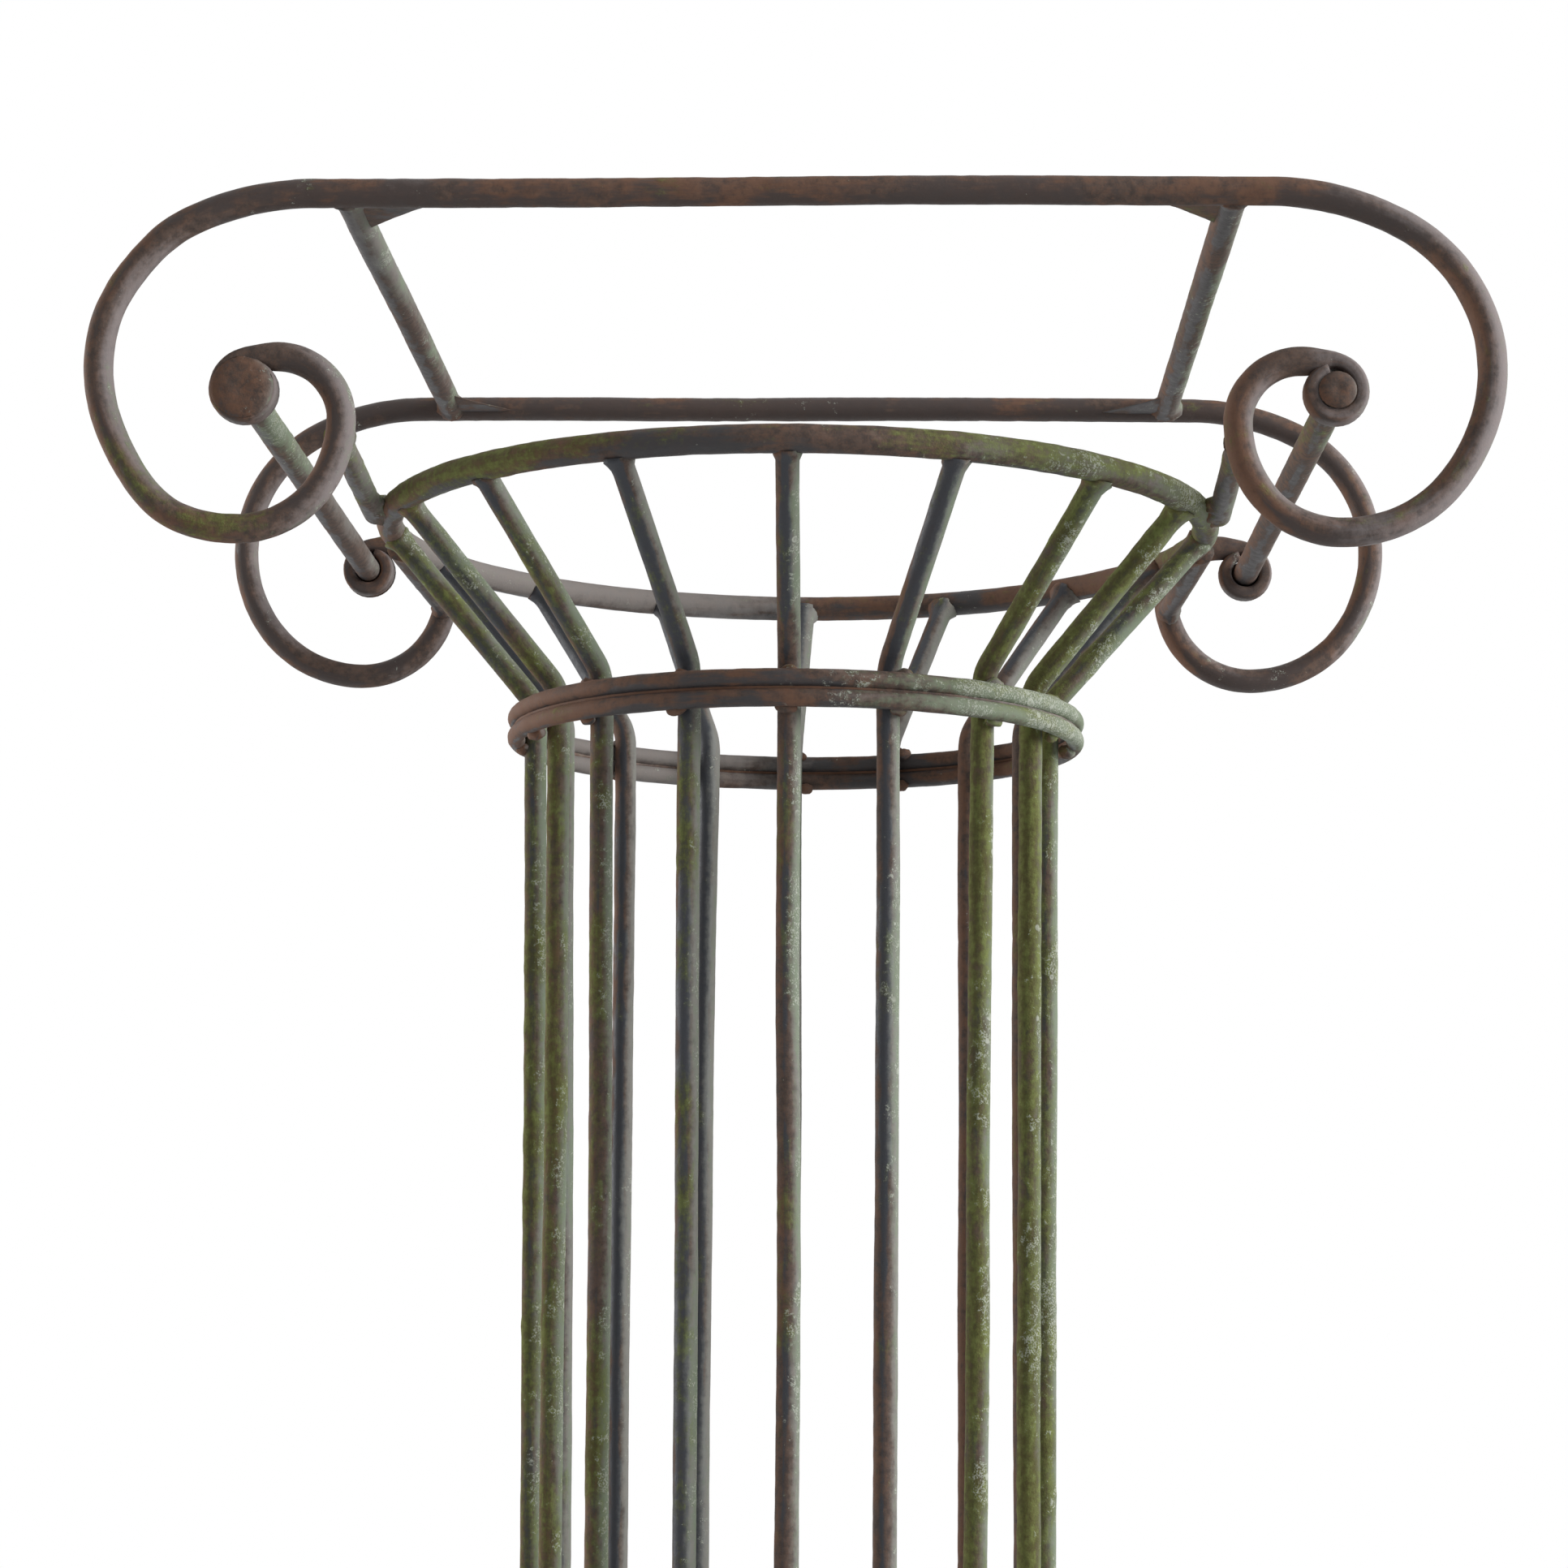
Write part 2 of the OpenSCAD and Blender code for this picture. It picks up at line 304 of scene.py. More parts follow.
def ring_line(radius, height, step):
    """A level circle about the column's axis."""
    count = int(round(TURN * radius / step))
    angle = np.arange(count) * TURN / count
    cos, sin, flat = np.cos(angle), np.sin(angle), np.zeros(count)
    outward = np.stack([cos, sin, flat], -1)
    up = np.broadcast_to([0.0, 0.0, 1.0], outward.shape)
    points = radius * outward + [0, 0, height]
    return Line(points, np.stack([-sin, cos, flat], -1), outward, -up, radius * angle, True)


def steady_line(points, heading, inward, across, run):
    """A line whose heading and section keep their directions from end to end."""
    axes = (np.broadcast_to(axis, points.shape) for axis in (heading, inward, across))
    return Line(points, *axes, run)


def straight_line(start, end, step, inward):
    """A straight rod from start to end, with one axis of its section given."""
    start, end = np.array(start, float), np.array(end, float)
    length = np.linalg.norm(end - start)
    t = np.linspace(0, 1, max(2, int(round(length / step)) + 1))[:, None]
    heading = (end - start) / length
    inward = np.array(inward, float) - np.dot(inward, heading) * heading
    inward /= np.linalg.norm(inward)
    points = start + t * (end - start)
    return steady_line(points, heading, inward, np.cross(heading, inward), t[:, 0] * length)


def stray(line, size, seed, cell=0.16):
    """Lets the centre line wander, as hand-bent rod does: slow noise in the two
    directions square to the rod."""
    if line.closed:
        cell = cell * 1.5
    inward = rough(line.points, cell, 2, seed)[:, None] * line.inward
    across = rough(line.points, cell, 2, seed + 5)[:, None] * line.across
    line.points = line.points + size * (inward + across)
    return line


def rod_grid(line, thick, wide, sides, square=2.0):
    """Carries a section along the line. The section at angle a has the half sizes
    `thick` and `wide` times the signed cosine and sine of a to the power
    2 / square, so 2 gives an ellipse and more gives a flatter bar."""
    count = len(line.points)
    thick, wide, square = (np.broadcast_to(v, count).astype(float)[:, None]
                           for v in (thick, wide, square))
    angle = (np.arange(sides) * TURN / sides)[None, :]
    cos, sin = np.cos(angle), np.sin(angle)
    a = thick * np.sign(cos) * np.abs(cos) ** (2 / square)
    b = wide * np.sign(sin) * np.abs(sin) ** (2 / square)
    offset = a[..., None] * line.inward[:, None] + b[..., None] * line.across[:, None]
    outward = offset / np.maximum(np.linalg.norm(offset, axis=-1, keepdims=True), 1e-9)
    return line.points[:, None] + offset, outward


class Skin:
    """Gathers grids into one mesh, with what has grown on them."""

    def __init__(self):
        self.points, self.loops, self.totals, self.size = [], [], [], 0
        self.painted = {"growth": [], "metal": [], "along": []}

    def add_grid(self, grid, growth, metal, along, closed):
        """Adds a grid that is round in its second direction, and closed in its
        first or capped at both ends with a fan about the end's middle."""
        painted = list(zip(self.painted.values(), (growth, metal, along)))
        rows, sides = grid.shape[:2]
        index = self.size + np.arange(rows * sides).reshape(rows, sides)
        ahead = np.roll(index, -1, axis=0) if closed else index[1:]
        here = index if closed else index[:-1]
        quads = np.stack([here, np.roll(here, -1, 1), np.roll(ahead, -1, 1), ahead], -1)
        self.loops.append(quads.ravel())
        self.totals.append(np.full(quads.size // 4, 4))
        self.points.append(grid.reshape(-1, 3))
        for store, value in painted:
            store.append(value.reshape(-1, 3))
        self.size += rows * sides
        if closed:
            return
        for row, flip in ((0, True), (rows - 1, False)):
            edge = index[row]
            pair = np.stack([edge, np.roll(edge, -1)], -1)
            pair = pair[:, ::-1] if flip else pair
            fan = np.concatenate([pair, np.full((sides, 1), self.size)], 1)
            self.loops.append(fan.ravel())
            self.totals.append(np.full(sides, 3))
            self.points.append(grid[row].mean(0, keepdims=True))
            for store, value in painted:
                store.append(value[row].mean(0, keepdims=True))
            self.size += 1

    def make(self, name, slot, nodes):
        """Makes the object, held inside the CAD box, and ties it to the frame."""
        points = np.clip(np.concatenate(self.points), CAD_BOX[0], CAD_BOX[1])
        loops, totals = np.concatenate(self.loops), np.concatenate(self.totals)
        mesh = bpy.data.meshes.new(name)
        mesh.vertices.add(len(points))
        mesh.vertices.foreach_set("co", points.astype(np.float32).ravel())
        mesh.loops.add(len(loops))
        mesh.loops.foreach_set("vertex_index", loops.astype(np.int32))
        mesh.polygons.add(len(totals))
        starts = np.concatenate([[0], np.cumsum(totals)[:-1]])
        mesh.polygons.foreach_set("loop_start", starts.astype(np.int32))
        mesh.polygons.foreach_set("loop_total", totals.astype(np.int32))
        mesh.polygons.foreach_set("use_smooth", np.ones(len(totals), bool))
        for label, store in self.painted.items():
            values = np.concatenate(store).astype(np.float32).ravel()
            mesh.attributes.new(label, "FLOAT_VECTOR", "POINT").data.foreach_set("vector", values)
        mesh.update(calc_edges=True)
        mesh.validate()
        piece = bpy.data.objects.new(name, mesh)
        bpy.context.scene.collection.objects.link(piece)
        mesh.materials.append(weathered_material(slot))
        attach(piece, "root")
        if nodes:
            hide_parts(*nodes)
        return piece


# ---------------------------------------------------------------- welds

def ring_gap(points, radius, height, rod_r):
    """Distance from a level ring's surface: from the circle, less the rod's radius."""
    out = np.hypot(points[..., 0], points[..., 1]) - radius
    return np.hypot(out, points[..., 2] - height) - rod_r


def bar_gap(points, y, z, rod_r):
    """Distance from the surface of a rod that lies along X."""
    return np.hypot(points[..., 1] - y, points[..., 2] - z) - rod_r


def coil_gap(points, centre, radius, rod_r):
    """Distance from the surface of a round coil that stands in the XZ plane."""
    out = np.hypot(points[..., 0] - centre[0], points[..., 2] - centre[2]) - radius
    return np.hypot(out, points[..., 1] - centre[1]) - rod_r


WELD_PASSES = 8


def weld_on(grid, outward, gap, leg, seed):
    """Builds weld metal up on a grid near a joint. The new surface is where the
    smooth union of the rod and what it is welded to is zero: the lesser of the
    distances a and b, less h^2 k / 4, with h = 1 - |a - b| / k. Each point is moved
    out until it gets there. Returns the grid and how much each point is weld."""
    uneven = 1 + 0.35 * rough(grid, 0.006, 2, seed) + 0.15 * rough(grid, 0.0025, 1, seed + 3)
    reach = 2 * leg * np.clip(uneven, 0.4, None)
    start, lift = gap(grid), np.zeros(grid.shape[:2])
    for _ in range(WELD_PASSES):
        away = gap(grid + outward * lift[..., None])
        near = np.clip(1 - np.abs(lift - away) / reach, 0, 1)
        union = np.minimum(lift, away) - near**2 * reach / 4
        lift = np.clip(lift - union, 0, 0.45 * reach)
    lift *= 1 - band_ease(0.0, 0.0030, -start)
    return grid + outward * lift[..., None], 1 - band_ease(0.0, 1.5, start / leg)


# ---------------------------------------------------------------- weathering

# The state of each upright rod, from the front one on towards +X: how damp it is,
# how much scale and how much brown rust it keeps, how crusted it is, and how far it
# stands to the right of true at the neck and lower down, in millimetres
ROD_STATES = (
    (0.36, 0.10, 0.20, 0.20, 0, 2), (0.22, 0.42, 0.10, 0.20, -3, -3),
    (0.84, 0.00, 0.15, 0.14, 0, -3), (0.86, 0.00, 0.18, 0.08, -3, -4),
    (0.70, 0.00, 0.00, 0.28, -3, -4), (0.30, 0.10, 0.20, 0.20, -3, -3),
    (0.04, 0.00, 0.50, 0.00, -2, -2), (0.10, 0.20, 0.30, 0.00, -2, -2),
    (0.16, 0.50, 0.00, 0.10, -4, -3), (0.06, 1.00, 0.10, 0.00, 0, 0),
    (0.04, 0.60, 0.00, 0.00, -1, 1), (0.30, 0.55, 0.00, 0.10, -1, 3),
    (0.64, 0.12, 0.10, 0.12, -1, 3), (0.64, 0.05, 0.35, 0.15, 4, 7),
    (0.60, 0.02, 0.30, 0.24, 0, 4), (0.36, 0.66, 0.05, 0.05, 2, 4),
)
# Heights between which the rods keep to their lower lean, which fades out at the foot
LOWER_BEND_Z = 1.50
FOOT_BEND_Z = UPPER_BASE_Z + 0.1

# Dampness round the bell ring and round the bands, in the same order
BELL_DAMP = (0.16, 0.62, 0.84, 0.92, 0.74, 0.25, 0.10, 0.10,
             0.06, 0.04, 0.04, 0.06, 0.36, 0.56, 0.62, 0.44)
BAND_DAMP = (0.10, 0.42, 0.70, 0.80, 0.62, 0.25, 0.08, 0.05,
             0.05, 0.05, 0.05, 0.05, 0.08, 0.10, 0.06, 0.04)


def round_column(points, values):
    """Reads a value given for each rod at the points' place round the column,
    blended between the rods."""
    turn = np.arctan2(points[..., 0], -points[..., 1]) / TURN
    return np.interp(turn % 1, np.linspace(0, 1, len(values) + 1), values + values[:1])


def facing(grid, outward, closed):
    """The grid's own normals: the cross product of its two differences, turned to
    the side that `outward` shows."""
    if closed:
        ahead = np.roll(grid, -1, 0) - np.roll(grid, 1, 0)
    else:
        ahead = np.gradient(grid, axis=0)
    normal = np.cross(ahead, np.roll(grid, -1, 1) - np.roll(grid, 1, 1))
    normal /= np.maximum(np.linalg.norm(normal, axis=-1, keepdims=True), 1e-12)
    return normal * np.sign((normal * outward).sum())


# What each kind of weathering is the sum of: a weight for each thing that brings it
# on, or keeps it away where the weight is negative. The weights on the side towards
# +X, where the key light falls, paint light and shade: that side gets paler iron,
# algae and lichen and less moss and scale as painted light, the side towards -X
# gets more rust as painted shade, and the band where the light fades out gets
# scale as painted shade
WEATHER_WEIGHTS = {
    "moss": {"damp": 1.12, "always": -0.33, "crusted": -0.45, "patch": 0.26, "spot": 0.22,
             "up": 0.16, "front_or_rear": 0.22, "lit_side": -0.12},
    "lichen": {"damp": 0.30, "always": -0.10, "crusted": 0.5, "run": 0.26, "spot": 0.30,
               "lit_side": 0.24},
    "algae": {"damp": 0.45, "always": -0.12, "crusted": 0.6, "run": 0.20, "lit_side": 0.46,
              "patch": 0.10},
    "open rust and painted shade": {"always": 0.16, "dry": 0.50, "lit_side": -0.34, "patch": 0.30, "spot": 0.16,
                   "weld": 0.35},
    "scale": {"always": 0.10, "dark": 0.62, "run": 0.26, "shade_band": 0.48, "dry": -0.30,
              "up": -0.15, "fully_lit_side": -0.45, "weld": -0.2},
    "bleached rust": {"always": 0.14, "pale": 1.0, "lit_side": 0.70, "up": 0.10, "run": 0.20,
                      "dry": -0.16, "dark": 0.12, "drift": 0.45, "behind": 0.16},
}


def weathering(points, outward, damp, dry=0.0, dark=0.0, pale=0.0, crusted=0.0, weld=0.0,
               seed=0):
    """What is on the iron at each point, as two triples from 0 to 1: moss, lichen
    and algae, then fresh, open rust, scale and pale worn iron. The side towards +X,
    where the key light falls, is painted light: its iron is paler and carries algae
    and lichen. The side towards -X is painted shade: it stays rusty. A band of scale
    between them, where the light fades out, is painted shade, and scale also stays
    in runs; behind, this difference is half as strong and drifts in broad patches.
    Moss grows where it is damp, thickest on upper, front and rear surfaces. Each is
    broken up by noise."""
    front, up = -outward[..., 1], outward[..., 2]
    ahead = band_ease(-0.3, 0.4, front)
    # How far the surface faces +X, where the key light falls, half as much behind; what this lays
    # is painted light and shade
    lit_side = outward[..., 0] * (0.5 + 0.5 * ahead)
    drift = (1 - ahead) * rough(points * [1, 1, 0.4], 0.11, 2, seed + 17)
    damp = damp + band_ease(0.1, 0.7, -front) * (0.30 + 0.35 * drift)
    causes = {
        "always": 1.0, "damp": damp, "dry": dry, "dark": dark, "pale": pale,
        "crusted": crusted, "weld": weld, "up": up, "front_or_rear": np.abs(front),
        # The fully lit side keeps no scale, and a band where the key light from +X fades out takes
        # scale as painted shade
        "lit_side": lit_side, "fully_lit_side": band_ease(0.25, 0.85, lit_side),
        "shade_band": np.exp(-(((lit_side + 0.22) / 0.34) ** 2)) * (front > -0.5),
        "behind": 1 - ahead, "drift": drift,
        "patch": rough(points, 0.045, 3, seed), "spot": rough(points, 0.011, 3, seed + 7),
        "run": rough(points * [1, 1, 0.30], 0.022, 3, seed + 13)}
    amounts = [sum(weight * causes[name] for name, weight in row.items())
               for row in WEATHER_WEIGHTS.values()]
    growth, metal = np.stack(amounts[:3], -1), np.stack(amounts[3:], -1)
    return np.clip(growth, 0, 1), np.clip(metal, 0, 1)


# How far the whole surface is sunk, so that what stands on it stays near the true rod
RELIEF_SINK = 0.00022


def relief(points, growth, metal, seed=0):
    """Height of the surface over the true rod, in metres: hammer marks and rolling,
    pits where rust is open, cushions of moss and crusts of lichen."""
    hammer = 0.00010 * rough(points, 0.018, 2, seed + 21)
    pit = -0.00022 * band_ease(0.35, 0.95, noise(points, 0.0045, seed + 23)) * metal[..., 0]
    grain = 0.00005 * rough(points, 0.0035, 2, seed + 25)
    cushion = 0.00042 * band_ease(0.35, 0.8, growth[..., 0]) * noise(points, 0.005, seed + 27)
    crust = 0.00022 * band_ease(0.45, 0.75, growth[..., 1]) * noise(points, 0.0042, seed + 29)
    return hammer + pit + grain + cushion + crust - RELIEF_SINK


def along_rod(line, sides, radius):
    """The rod unrolled straight: run along it, and the section's two offsets.
    Patterns with a grain follow this rather than space."""
    angle = (np.arange(sides) * TURN / sides)[None, :]
    radius = np.broadcast_to(radius, len(line.run))[:, None]
    run = np.broadcast_to(line.run[:, None], (len(line.run), sides))
    return np.stack([run, radius * np.cos(angle), radius * np.sin(angle)], -1)


def add_rod(skin, line, radius, sides, seed, welds=(), damp=0.0, thick=None, wide=None,
            square=2.0, **kind):
    """Adds one weathered rod. `welds` holds pairs of a distance function and a
    leg; the rest says how the rod has weathered."""
    grid, outward = rod_grid(line, radius if thick is None else thick,
                             radius if wide is None else wide, sides, square)
    weld = np.zeros(grid.shape[:2])
    for count, (gap, leg) in enumerate(welds):
        grid, fresh = weld_on(grid, outward, gap, leg, seed + count)
        weld = np.maximum(weld, fresh)
    normal = facing(grid, outward, line.closed)
    growth, metal = weathering(grid, normal, damp, weld=weld, seed=seed, **kind)
    lift = relief(grid, growth, metal, seed) + weld * 0.0005 * rough(grid, 0.004, 2, seed + 41)
    skin.add_grid(grid + normal * lift[..., None], growth, metal,
                  along_rod(line, sides, radius), line.closed)


def make_iron(node, slot, *rod, **kind):
    """Makes a piece of one weathered rod, which stands for a CAD node."""
    skin = Skin()
    add_rod(skin, *rod, **kind)
    skin.make(node + "_iron", slot, [node])


# ---------------------------------------------------------------- materials

def link_in(tree, value, socket):
    """Feeds a socket from another socket, or sets its value."""
    if isinstance(value, bpy.types.NodeSocket):
        tree.links.new(value, socket)
    else:
        socket.default_value = value


def maths(tree, operation, a, b):
    """A Math node's result."""
    node = tree.nodes.new("ShaderNodeMath")
    node.operation = operation
    link_in(tree, a, node.inputs[0])
    link_in(tree, b, node.inputs[1])
    return node.outputs[0]


def plus(tree, a, b):
    """The sum of two values."""
    return maths(tree, "ADD", a, b)


def times(tree, a, b):
    """The product of two values."""
    return maths(tree, "MULTIPLY", a, b)


def mean(tree, a, b):
    """The mean of two values."""
    return times(tree, plus(tree, a, b), 0.5)


def blend(tree, factor, a, b):
    """Colour a where the factor is 0 and colour b where it is 1."""
    node = tree.nodes.new("ShaderNodeMix")
    node.data_type = "RGBA"
    for value, socket in ((factor, node.inputs["Factor"]), (a, node.inputs[6]),
                          (b, node.inputs[7])):
        link_in(tree, value, socket)
    return node.outputs[2]


def between(tree, value, low, high, to_low=0.0, to_high=1.0):
    """A smooth Map Range node's result."""
    node = tree.nodes.new("ShaderNodeMapRange")
    node.interpolation_type = "SMOOTHSTEP"
    for name, setting in (("Value", value), ("From Min", low), ("From Max", high),
                          ("To Min", to_low), ("To Max", to_high)):
        link_in(tree, setting, node.inputs[name])
    return node.outputs["Result"]


def grain_noise(tree, vector, scale, detail, roughness=0.55):
    """A Noise Texture's value."""
    node = tree.nodes.new("ShaderNodeTexNoise")
    for name, setting in (("Vector", vector), ("Scale", scale), ("Detail", detail),
                          ("Roughness", roughness)):
        link_in(tree, setting, node.inputs[name])
    return node.outputs["Fac"]


def scattered_cells(tree, vector, scale):
    """Cells scattered at random: the distance to a cell's middle, and two random
    values that each cell has of its own."""
    node = tree.nodes.new("ShaderNodeTexVoronoi")
    link_in(tree, vector, node.inputs["Vector"])
    link_in(tree, scale, node.inputs["Scale"])
    chance = tree.nodes.new("ShaderNodeSeparateColor")
    tree.links.new(node.outputs["Color"], chance.inputs[0])
    return node.outputs["Distance"], chance.outputs[0], chance.outputs[1]


def three_parts(tree, vector):
    """The three values that a vector holds."""
    node = tree.nodes.new("ShaderNodeSeparateXYZ")
    tree.links.new(vector, node.inputs[0])
    return node.outputs


def drawn_out(tree, along, share):
    """The rod's own coordinates with the run along it cut down to a share, which
    draws a pattern out lengthwise."""
    node = tree.nodes.new("ShaderNodeMapping")
    node.inputs["Scale"].default_value = (share, 1.0, 1.0)
    tree.links.new(along, node.inputs["Vector"])
    return node.outputs[0]


def object_place(tree):
    """Object coordinates."""
    return tree.nodes.new("ShaderNodeTexCoord").outputs["Object"]


def new_group(name, vectors, colours, values=()):
    """An empty shader group with the inputs named by kind, which puts out a colour,
    a roughness and a height. Returns it, its inputs' values and its outputs."""
    tree = bpy.data.node_groups.new(name, "ShaderNodeTree")
    rows = [("INPUT", "Vector", vectors), ("INPUT", "Color", colours),
            ("INPUT", "Float", values), ("OUTPUT", "Color", ["Color"]),
            ("OUTPUT", "Float", ["Roughness", "Height"])]
    for in_out, kind, labels in rows:
        for label in labels:
            tree.interface.new_socket(label, in_out=in_out, socket_type="NodeSocket" + kind)
    given, out = tree.nodes.new("NodeGroupInput"), tree.nodes.new("NodeGroupOutput")
    return tree, given.outputs, out.inputs


def broken_mask(tree, amount, texture, strength, soft):
    """A painted amount, broken into patches by a texture: 1 where the amount plus
    the texture's swing passes a half."""
    swing = times(tree, maths(tree, "SUBTRACT", texture, 0.5), strength)
    return between(tree, plus(tree, amount, swing), 0.5 - soft, 0.5 + soft)


def iron_group():
    """Rusted iron under its own scale and a pale grey lilac film, which is worn rust and, on the
    side towards +X, painted highlight.
    """
    tree, given, out = new_group(
        "Rusted iron", ["Metal", "Along"], ["Brown", "Umber", "Orange", "Scale", "Bleached"])
    place = object_place(tree)
    # The film's amount holds painted highlight on the side towards +X, and the scale's a band of
    # painted shade
    rust, scale, bleach_and_light = three_parts(tree, given["Metal"])
    streak = grain_noise(tree, drawn_out(tree, given["Along"], 0.16), 420, 4)
    broad = grain_noise(tree, place, 60, 3)
    mottle = grain_noise(tree, place, 260, 4, 0.62)
    fine = grain_noise(tree, place, 1100, 3, 0.6)
    base = blend(tree, between(tree, mottle, 0.30, 0.68), given["Umber"], given["Brown"])
    base = blend(tree, between(tree, fine, 0.5, 0.75, 0.0, 0.30), base, given["Orange"])
    rusty = broken_mask(tree, rust, mean(tree, streak, mottle), 1.6, 0.26)
    scaly = broken_mask(tree, scale, mean(tree, streak, broad), 1.5, 0.15)
    # The pale film: worn rust, and painted highlight where the key light falls
    pale = broken_mask(tree, bleach_and_light, mean(tree, streak, mottle), 1.0, 0.30)
    for mask, share, label in ((rusty, 0.50, "Orange"), (scaly, 0.9, "Scale"),
                               (pale, 0.72, "Bleached")):
        base = blend(tree, times(tree, mask, share), base, given[label])
    tree.links.new(base, out["Color"])
    gloss = plus(tree, between(tree, scaly, 0, 1, 0.80, 0.56),
                 between(tree, mottle, 0.3, 0.7, -0.07, 0.07))
    tree.links.new(gloss, out["Roughness"])
    height = plus(tree, times(tree, mottle, 0.6), times(tree, fine, 0.5))
    tree.links.new(plus(tree, height, times(tree, streak, 0.35)), out["Height"])
    return tree


MOSS_ROUGHNESS = 0.95


def growth_group():
    """Algae, moss and lichen over whatever is below."""
    tree, given, out = new_group(
        "Moss and lichen", ["Growth", "Along"],
        ["Under", "Algae", "Moss", "Moss tips", "Lichen"], ["Under roughness", "Under height"])
    place = object_place(tree)
    moss, lichen, algae = three_parts(tree, given["Growth"])
    drift = grain_noise(tree, drawn_out(tree, given["Along"], 0.22), 300, 4)
    clump = grain_noise(tree, place, 330, 4, 0.65)
    tuft = grain_noise(tree, place, 1300, 2, 0.6)
    clumped = mean(tree, drift, clump)

    # Algae are a thin film; moss is dark in its hollows and pale at its tips
    # The film is laid more on the side towards +X, as painted light
    film = broken_mask(tree, algae, clumped, 1.5, 0.26)
    base = blend(tree, times(tree, film, 0.78), given["Under"], given["Algae"])
    tips = blend(tree, between(tree, clumped, 0.40, 0.66), given["Moss"], given["Moss tips"])
    mossy = broken_mask(tree, moss, clumped, 1.6, 0.34)
    base = blend(tree, times(tree, mossy, 0.88), base, tips)

    # Lichen grows as rosettes with a raised rim, as flakes and as small dots
    distance, chance, other_chance = scattered_cells(tree, place, 210)
    spread = maths(tree, "DIVIDE", distance, between(tree, chance, 0, 1, 0.22, 0.46))
    rim = times(tree, between(tree, spread, 1.06, 0.84),
                between(tree, spread, 0.35, 0.75, 0.45, 1.0))
    rosette = times(tree, rim, between(tree, plus(tree, other_chance, lichen), 1.28, 1.36))
    flake = times(tree, broken_mask(tree, lichen, clump, 2.0, 0.10),
                  between(tree, tuft, 0.42, 0.62))
    distance, chance, _ = scattered_cells(tree, place, 620)
    chosen = between(tree, plus(tree, chance, times(tree, lichen, 0.6)), 1.26, 1.34)
    dot = times(tree, between(tree, distance, 0.34, 0.20), chosen)
    crust = maths(tree, "MAXIMUM", maths(tree, "MAXIMUM", rosette, flake), dot)
    base = blend(tree, times(tree, crust, 0.72), base, given["Lichen"])
    tree.links.new(base, out["Color"])

    cover = tree.nodes.new("ShaderNodeMix")
    link_in(tree, maths(tree, "MAXIMUM", mossy, crust), cover.inputs[0])
    link_in(tree, given["Under roughness"], cover.inputs[2])
    link_in(tree, MOSS_ROUGHNESS, cover.inputs[3])
    tree.links.new(cover.outputs[0], out["Roughness"])
    height = plus(tree, given["Under height"], times(tree, mossy, plus(tree, tuft, clump)))
    tree.links.new(plus(tree, height, times(tree, crust, 0.9)), out["Height"])
    return tree


# How the iron of each material slot differs: a gain for brown and umber, and the
# colours that the scale, which is partly painted shade, and the pale iron, which is
# partly painted highlight, are multiplied by
SLOT_TINTS = {
    "upright_rods": (1.20, (1.00, 1.00, 1.00), (1.00, 1.13, 1.06)),
    "rings": (1.12, (1.15, 0.98, 0.85), (1.00, 1.02, 0.98)),
    "scrolls": (1.22, (1.50, 0.95, 0.70), (0.98, 0.96, 0.97)),
    "ties": (1.10, (1.20, 0.98, 0.85), (0.80, 0.85, 0.80)),
}


def painted(tree, label):
    """Reads one of the piece's own attributes."""
    node = tree.nodes.new("ShaderNodeAttribute")
    node.attribute_name = label
    return node.outputs["Vector"]


def group_node(tree, name, maker, **values):
    """Places a shared group, made on its first use, and feeds its inputs."""
    node = tree.nodes.new("ShaderNodeGroup")
    node.node_tree = bpy.data.node_groups.get(name) or maker()
    for label, value in values.items():
        link_in(tree, value, node.inputs[label.replace("_", " ").capitalize()])
    return node.outputs


IRON_SPECULAR = 0.32
BUMP_STRENGTH = 0.55
BUMP_DEPTH = 0.0004


def rgba(value, by=1.0):
    """A colour, multiplied by a gain or a tint, with full alpha."""
    return tuple(np.minimum(1, np.multiply(value, by))) + (1.0,)


def new_material(name, specular):
    """A material with its node tree and the inputs of its shader."""
    material = bpy.data.materials.new(name)
    material.use_nodes = True
    shader = material.node_tree.nodes["Principled BSDF"].inputs
    shader["Specular IOR Level"].default_value = specular
    return material, material.node_tree, shader


def weathered_material(slot):
    """The finish of one material slot, made on its first use."""
    name = "weathered " + slot.replace("_", " ")
    if name in bpy.data.materials:
        return bpy.data.materials[name]
    finish = bpy.context.scene.column_finish
    gain, scale_tint, bleached_and_lit_tint = SLOT_TINTS[slot]
    material, tree, shader = new_material(name, IRON_SPECULAR)
    along = painted(tree, "along")
    iron = group_node(
        tree, "Rusted iron", iron_group, metal=painted(tree, "metal"), along=along,
        brown=rgba(finish.brown, gain), umber=rgba(finish.umber, gain),
        orange=rgba(finish.orange), scale=rgba(finish.scale, scale_tint),
        bleached=rgba(finish.bleached, bleached_and_lit_tint))
    grown = group_node(
        tree, "Moss and lichen", growth_group, growth=painted(tree, "growth"),
        along=along, under=iron["Color"], under_roughness=iron["Roughness"],
        under_height=iron["Height"], algae=rgba(finish.algae), moss=rgba(finish.moss),
        moss_tips=rgba(finish.moss_tip), lichen=rgba(finish.lichen))
    tree.links.new(grown["Color"], shader["Base Color"])
    tree.links.new(grown["Roughness"], shader["Roughness"])
    bump = tree.nodes.new("ShaderNodeBump")
    bump.inputs["Strength"].default_value = BUMP_STRENGTH
    bump.inputs["Distance"].default_value = BUMP_DEPTH
    tree.links.new(grown["Height"], bump.inputs["Height"])
    tree.links.new(bump.outputs["Normal"], shader["Normal"])
    return material


# ---------------------------------------------------------------- operators

